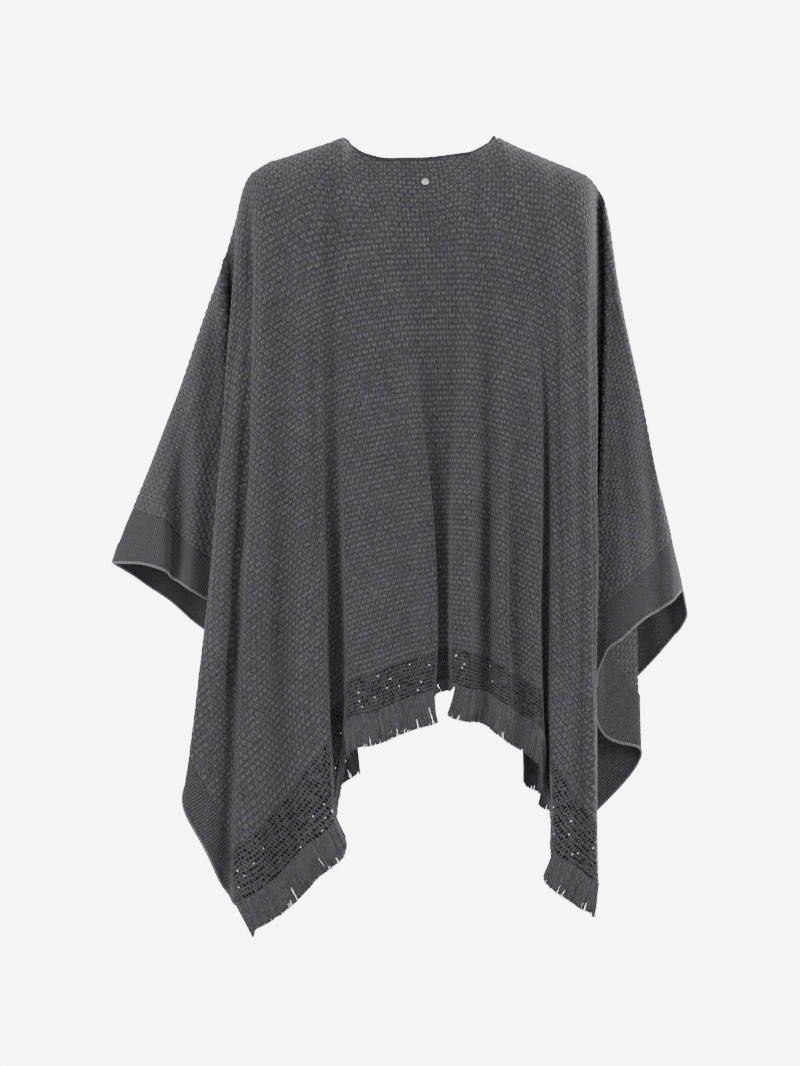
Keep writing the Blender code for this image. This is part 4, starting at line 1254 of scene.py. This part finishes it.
SEAMS = []
t = np.linspace(0, 1, SEAM_POINTS)
BEZIER = ((1 - t) ** 3, 3 * t * (1 - t) ** 2, 3 * t * t * (1 - t), t**3)
for cloth, sign, label in ((LEFT, 1, "left"), (RIGHT, -1, "right")):
    front = top_edge(cloth)
    reach = sign * front[0][:, 0]
    xs = np.linspace(reach.min(), reach.max(), SEAM_ROWS)

    def at_same_x(edge):
        order = np.argsort(sign * edge[0][:, 0])
        return [read_at(xs, sign * edge[0][order, 0], values[order]) for values in edge]

    behind, behind_up, behind_face = at_same_x((back_top, back_up, back_face))
    ahead, ahead_up, ahead_face = at_same_x(front)
    gap = np.linalg.norm(ahead - behind, axis=1)[:, None]
    print(f"{label} seam closes a gap of {gap.mean():.1f} mm on average and {gap.max():.1f} mm at most")
    ends = [behind - behind_up * SEAM_LAP - behind_face, behind + behind_up * gap / 2]
    ends += [ahead + ahead_up * gap / 2, ahead - ahead_up * SEAM_LAP - ahead_face]
    strip = sum(share[None, :, None] * end[:, None] for share, end in zip(BEZIER, ends))
    shading = outward_of(strip, [0.0, 0.0, 1.0])
    counts = stitch_counts(t, xs, 0.1, RIB_PITCH)
    SEAMS.append(hand_in(sheet_piece(f"{label}_shoulder_join", strip, shading, counts, RIB_KNIT), "knit"))
    middle = SEAM_POINTS // 2
    seam = tube(
        f"{label}_shoulder_seam", strip[:, middle], 3.0, 1.6, 6, 4.2, 0.12, RIB_KNIT, flat_to=shading[:, middle]
    )
    SEAMS.append(hand_in(seam, "knit"))

# %% [markdown]
# ## Fringe
#
# The fringe is the ends of hundreds of single yarns, drawn through the hem, laid straight and cut
# about 40 mm below it. The yarns hang close, in three layers, part into locks here and there, and
# stand nearly square to the hem. They are short in the fold at the middle of the back and where the
# hem is steep, and a little longer at the corners. Each yarn is a mesh strand of its own.

# %% Fringe strands
STRAND_PITCH, STRAND_RADIUS, STRAND_REACH, STRAND_HANG, STRAND_EVEN = 0.8, 0.62, 39.5, 0.2, 26
STRAND_SHORT, STEEP, CORNER_EXTRA, PARTING = 0.3, 0.85, 8.0, 26
TUCKED_X, TUCKED_HALF = -31.0, 13.0
STRAND_LAYERS, LOCKS = (-0.9, 0.0, 0.9), (9, 26)
STRAND_SHARES = np.array([0.0, 0.12, 0.38, 0.7, 1.0])
STRAND_TAPER = np.array([0.85, 1.0, 1.0, 0.95, 0.7])


def strands(name, cloth, seed, *nodes):
    """The yarns below a panel's hem, in three layers of three-sided strands."""
    us = np.linspace(-cloth.half, cloth.half, 420)
    points, face = settle(cloth, us, np.array([cloth.length - 4.0, cloth.length]))
    hem, face = points[1], face[1]
    out = unit(points[1] - points[0])
    plumb = np.array([0.0, 0.0, -1.0])
    hang = unit(plumb - face * (face @ plumb)[:, None])
    length = edge_lengths(hem)
    fall = (1 - STRAND_HANG) * out + STRAND_HANG * hang
    soft = np.hanning(2 * STRAND_EVEN + 1)[1:-1]
    soft /= soft.sum()
    padded = np.pad(fall, ((STRAND_EVEN - 1, STRAND_EVEN - 1), (0, 0)), mode="edge")
    fall = unit(np.stack([np.convolve(padded[:, k], soft, mode="valid") for k in range(3)], axis=1))
    dice = np.random.default_rng(seed)
    all_points, all_counts, all_faces = [], [], []
    total = 0
    turn = np.arange(3) / 3 * 2 * math.pi
    for layer in STRAND_LAYERS:
        count = round(length[-1] / STRAND_PITCH)
        spots = (np.arange(count) + dice.uniform(0.2, 0.8, count)) / count * length[-1]
        lock = np.searchsorted(np.cumsum(dice.uniform(*LOCKS, int(length[-1] / 12) + 4)), spots)
        rows = (hem, fall, face, np.gradient(hem, axis=0))
        root, down, square, ahead = (read_at(spots, length, each) for each in rows)
        down, square = unit(down), unit(square)
        along = unit(np.cross(square, down))
        along *= np.sign(np.sum(along * ahead, axis=1))[:, None]
        size = STRAND_REACH + dice.normal(0, 0.4, count) + 0.7 * np.sin(lock * 2.4) * np.sin(spots / 9.0)
        size[dice.random(count) < 0.008] += 2.0
        rise = np.abs(np.interp(spots, length, np.gradient(hem[:, 2]) / np.maximum(np.gradient(length), 1e-6)))
        size[rise > STEEP] *= STRAND_SHORT
        size[np.abs(root[:, 0] - TUCKED_X) < TUCKED_HALF] *= STRAND_SHORT
        size += CORNER_EXTRA * np.exp(-((np.minimum(spots, length[-1] - spots) / 6) ** 2))
        aside = root[:, 0] - TUCKED_X
        parted = np.exp(-(((np.abs(aside) - TUCKED_HALF) / PARTING) ** 2))
        gather = np.sign(aside) * 8.0 * parted + dice.normal(0, 0.3, count)
        wander = dice.normal(0, 0.4, count)
        depth = dice.normal(0, 0.25, count) + layer
        phase = dice.uniform(0, 2 * math.pi, count)
        s = STRAND_SHARES[None, :, None]
        centre = (
            root[:, None]
            + down[:, None] * (s * size[:, None, None] - 1.5)
            + along[:, None] * (gather[:, None, None] * s**1.5 + 0.35 * np.sin(phase[:, None, None] + 5 * s) * s)
            + square[:, None] * (depth[:, None, None] + wander[:, None, None] * s**2)
        )
        radius = STRAND_RADIUS * STRAND_TAPER[None, :, None, None]
        spin = turn[None] + phase[:, None]
        ring = (
            along[:, None, None] * np.cos(spin)[:, None, :, None]
            + square[:, None, None] * np.sin(spin)[:, None, :, None]
        )
        tubes = centre[:, :, None] + ring * radius
        rings = len(STRAND_SHARES)
        number = total + np.arange(count)[:, None, None] * rings * 3 + np.arange(rings)[:, None] * 3 + np.arange(3)
        upper, lower = number[:, :-1], number[:, 1:]
        for k in range(3):
            quad = np.stack([upper[..., k], lower[..., k], lower[..., k - 2], upper[..., k - 2]], axis=2)
            all_faces.append(quad.reshape(-1, 4))
        all_points.append(tubes.reshape(-1, 3))
        turns = np.broadcast_to((STRAND_SHARES * 14)[None, :, None], (count, rings, 3))
        around = np.broadcast_to((np.arange(3) / 3)[None, None], (count, rings, 3))
        all_counts.append(np.stack([turns, around], axis=3).reshape(-1, 2))
        total += count * rings * 3
    faces = np.concatenate(all_faces)
    piece = whole_mesh(name, np.concatenate(all_points), faces, np.concatenate(all_counts), FRINGE_YARN)
    return hand_in(piece, "yarn", *nodes)


STRIPS = (
    ("fringe_back_left", "fringe_back_centre", "fringe_back_right"),
    ("fringe_front_left",),
    ("fringe_front_right",),
)
FRINGES = [
    strands(f"{label}_fringe_yarns", cloth, seed, *strips)
    for (cloth, label), seed, strips in zip(PANELS, (11, 12, 13), STRIPS)
]

# %% [markdown]
# ## Stones and stud
#
# Small cut stones are set here and there in the openwork. Each is a low brilliant 2.7 mm across: an
# eight-sided table, a ring of slanted facets and a girdle. At the nape sits a plain round silver
# stud with a turned rim and a low dome, 9 mm across.

# %% Stones
STONE, TABLE, GIRDLE_HIGH, TABLE_HIGH, SET_HIGH = 1.35, 0.62, 0.35, 1.05, 0.9
FRONT_STONES = (19, 17)
BACK_STONES = [
    (72, -650), (71, -660), (49, -630), (34, -635), (38, -645), (23, -643), (52, -655), (10, -617),
    (-13, -618), (-3, -637), (1, -647), (55, -677), (68, -668), (-60, -600), (-54, -617), (-44, -607),
    (-51, -621), (-86, -619), (-89, -637), (-123, -688), (-136, -686), (113, -783), (125, -798), (111, -800),
    (114, -816), (140, -835), (184, -836), (196, -854), (215, -863), (208, -867), (227, -877), (214, -881),
    (-181, -803), (-178, -818), (-161, -787), (-158, -815), (-183, -842), (-189, -842), (-207, -836),
    (-179, -856), (-212, -865), (100, -742), (92, -700), (-146, -742), (-152, -792),
]  # fmt: skip


def stone_facets():
    """One stone's points and triangles, its base on the plane and its table up."""
    ring = [(math.cos(a), math.sin(a)) for a in np.arange(8) / 8 * 2 * math.pi]
    points = [(STONE * x, STONE * y, 0.0) for x, y in ring]
    points += [(STONE * x, STONE * y, GIRDLE_HIGH) for x, y in ring]
    half_turned = [(x * 0.924 - y * 0.383, y * 0.924 + x * 0.383) for x, y in ring]
    points += [(TABLE * STONE * x, TABLE * STONE * y, TABLE_HIGH) for x, y in half_turned]
    points.append((0.0, 0.0, TABLE_HIGH))
    faces = []
    for k in range(8):
        n = (k + 1) % 8
        faces += [(k, n, 8 + n), (k, 8 + n, 8 + k), (8 + k, 8 + n, 16 + k), (8 + n, 16 + n, 16 + k)]
        faces.append((16 + k, 16 + n, 24))
    return np.array(points), np.array(faces)


def set_stones(name, cloth, wanted):
    """Stones on the net at the wanted x and z, or, where wanted is a number, that many anywhere."""
    us = np.linspace(*net_span(cloth), 500)
    vs = np.linspace(cloth.length - OPENWORK + 2, cloth.length - 3, 24)
    points, face = settle(cloth, us, vs)
    spots = []
    if isinstance(wanted, int):
        dice = random.Random(wanted)
        spots = [(dice.randrange(2, 22), dice.randrange(40, 330)) for _ in range(wanted)]
    else:
        hidden = np.where(face[..., 1] * cloth.outward[1] > 0.25, 0.0, 1e6)
        for x, z in wanted:
            gap = np.hypot(points[..., 0] - x, points[..., 2] - z) + hidden
            if gap.min() < 2:
                spots.append(np.unravel_index(np.argmin(gap), gap.shape))
    shape, triangles = stone_facets()
    all_points, all_faces = [], []
    dice = random.Random(5)
    for k, spot in enumerate(spots):
        up = face[spot]
        across_it = unit(np.cross(up, [0.3, 0.1, 1.0]))
        turn = dice.uniform(0, math.pi)
        tilt = unit(up + 0.12 * across_it * dice.uniform(-1, 1))
        one = unit(np.cross(across_it, tilt))
        two = np.cross(tilt, one)
        one, two = math.cos(turn) * one + math.sin(turn) * two, math.cos(turn) * two - math.sin(turn) * one
        place = shape[:, :1] * one + shape[:, 1:2] * two + shape[:, 2:] * tilt
        all_points.append(points[spot] + up * SET_HIGH + place)
        all_faces.append(triangles + k * len(shape))
    points, faces = np.concatenate(all_points), np.concatenate(all_faces)
    piece = whole_mesh(name, points, faces, np.zeros((len(points), 2)), CRYSTAL)
    piece.data.shade_flat()
    print(f"{name}: {len(spots)} stones")
    return hand_in(piece, "stud", cloth.node)


GEMS = [
    set_stones(f"{label}_stones", cloth, wanted)
    for (cloth, label), wanted in zip(PANELS, (BACK_STONES, *FRONT_STONES))
]

# %% Nape stud
STUD_X, STUD_Z = -8.4, -41.0
us = np.linspace(-60, 60, 121)
points, face = settle(BACK, us, np.linspace(5, 70, 80))
spot = np.unravel_index(np.argmin(np.hypot(points[..., 0] - STUD_X, points[..., 2] - STUD_Z)), points.shape[:2])
profile = [(0, 0), (3.6, 0), (4.3, 0.15), (4.5, 0.5), (4.35, 0.85), (4.0, 0.98), (3.75, 0.85), (3.6, 0.9)]
profile += [(3.6 * math.cos(a), 0.9 + 1.5 * math.sin(a)) for a in np.radians(np.arange(15, 91, 15))]
mesh = bpy.data.meshes.new("silver_nape_stud")
mesh.from_pydata([(x * MM, 0, z * MM) for x, z in profile], [(k, k + 1) for k in range(len(profile) - 1)], [])
mesh.materials.append(SILVER)
stud = placed("silver_nape_stud", mesh)
turned = stud.modifiers.new("turned", "SCREW")
turned.steps = turned.render_steps = 48
turned.use_merge_vertices = True
turned.merge_threshold = 0.00001
turned.use_normal_calculate = True
turned.use_smooth_shade = True
turn = Vector(face[spot]).to_track_quat("Z", "Y").to_matrix().to_4x4()
stud.matrix_world = Matrix.Translation(Vector(points[spot] + face[spot] * 1.5) * MM) @ turn
hand_in(stud, "stud", "nape_stud")
print("stud at", [round(v, 1) for v in points[spot]])

# %% [markdown]
# ## Sheets
#
# Each stretch of bump knit and each rib border has the size that it had in the flat knit noted in a
# list. The nets, yarns, rims, stones and seams go with the nearest stretch.

# %% Noting the flat sizes
GOING[BACK_KNIT[1]] += [neck_roll, *SELVEDGES[:2], *NETS[0], FRINGES[0], GEMS[0]]
GOING[LEFT_KNIT[0]] += [SELVEDGES[2], *NETS[1], FRINGES[1], GEMS[1], *SEAMS[:2]]
GOING[RIGHT_KNIT[0]] += [SELVEDGES[3], *NETS[2], FRINGES[2], GEMS[2], *SEAMS[2:]]
print(f"{len(CUTS)} sheets, {sum(share * w * l for _, w, l, share in CUTS):.2f} square metres with the floats")

# %% [markdown]
# ## Studio
#
# A wide pale floor lies at foot level, far below the cloth, under a pale even sky. Two broad soft
# lights stand at the back's left and right, and two more light the open front. The lens is long, so
# that the cloth keeps its proportions.

# %% Studio and camera
LOOK_X, LOOK_Y, LOOK_Z = 0.0222, 0.06, -0.4608
FRAME_TALL, DISTANCE = 1.279, 6.5

floor_mesh = bpy.data.meshes.new("studio_floor")
rim = [(3.0 * math.cos(a), 3.0 * math.sin(a), -1.45) for a in np.arange(96) / 96 * 2 * math.pi]
floor_mesh.from_pydata(rim, [], [list(range(96))])
paint = bpy.data.materials.new("pale_floor_paint")
paint.use_nodes = True
paint.node_tree.nodes["Principled BSDF"].inputs["Base Color"].default_value = (0.86, 0.86, 0.86, 1)
paint.node_tree.nodes["Principled BSDF"].inputs["Roughness"].default_value = 0.8
floor_mesh.materials.append(paint)
floor = placed("studio_floor", floor_mesh)

world = bpy.data.worlds.new("pale_studio")
world.use_nodes = True
bpy.context.scene.world = world
w = Wires(world.node_tree)
sky = world.node_tree.nodes["Background"]
sky.inputs["Color"].default_value = (1.0, 1.0, 1.0, 1)
sky.inputs["Strength"].default_value = 0.86
backdrop = w.add("ShaderNodeBackground")
backdrop.inputs["Color"].default_value = (1.0, 1.0, 1.0, 1)
backdrop.inputs["Strength"].default_value = 7.5
either = w.add("ShaderNodeMixShader")
w.feed(either.inputs[0], w.add("ShaderNodeLightPath").outputs["Is Camera Ray"])
w.feed(either.inputs[1], sky.outputs[0])
w.feed(either.inputs[2], backdrop.outputs[0])
w.feed(world.node_tree.nodes["World Output"].inputs[0], either.outputs[0])


def soft_light(name, place, size, power):
    """A round light of this size in metres, turned to the poncho."""
    lamp = bpy.data.lights.new(name, "AREA")
    lamp.shape = "DISK"
    lamp.size = size
    lamp.energy = power
    thing = placed(name, lamp)
    thing.location = place
    thing.rotation_euler = (Vector((0.02, 0, -0.45)) - Vector(place)).to_track_quat("-Z", "Y").to_euler()


soft_light("key", (5.0, 5.3, 1.9), 2.8, 150)
soft_light("fill", (-5.2, 5.4, 1.2), 2.9, 145)
soft_light("front", (-2.6, -3.0, 0.9), 1.8, 130)
soft_light("far_front", (2.4, -6.8, 1.4), 2.8, 150)

lens = bpy.data.cameras.new("camera")
lens.sensor_width = 36.0
lens.lens = 36.0 * DISTANCE / FRAME_TALL
lens.clip_end = 60.0
camera = placed("camera", lens)
camera.location = (LOOK_X, LOOK_Y + DISTANCE, LOOK_Z)
camera.rotation_euler = (math.radians(90), 0, math.radians(180))
bpy.context.scene.camera = camera
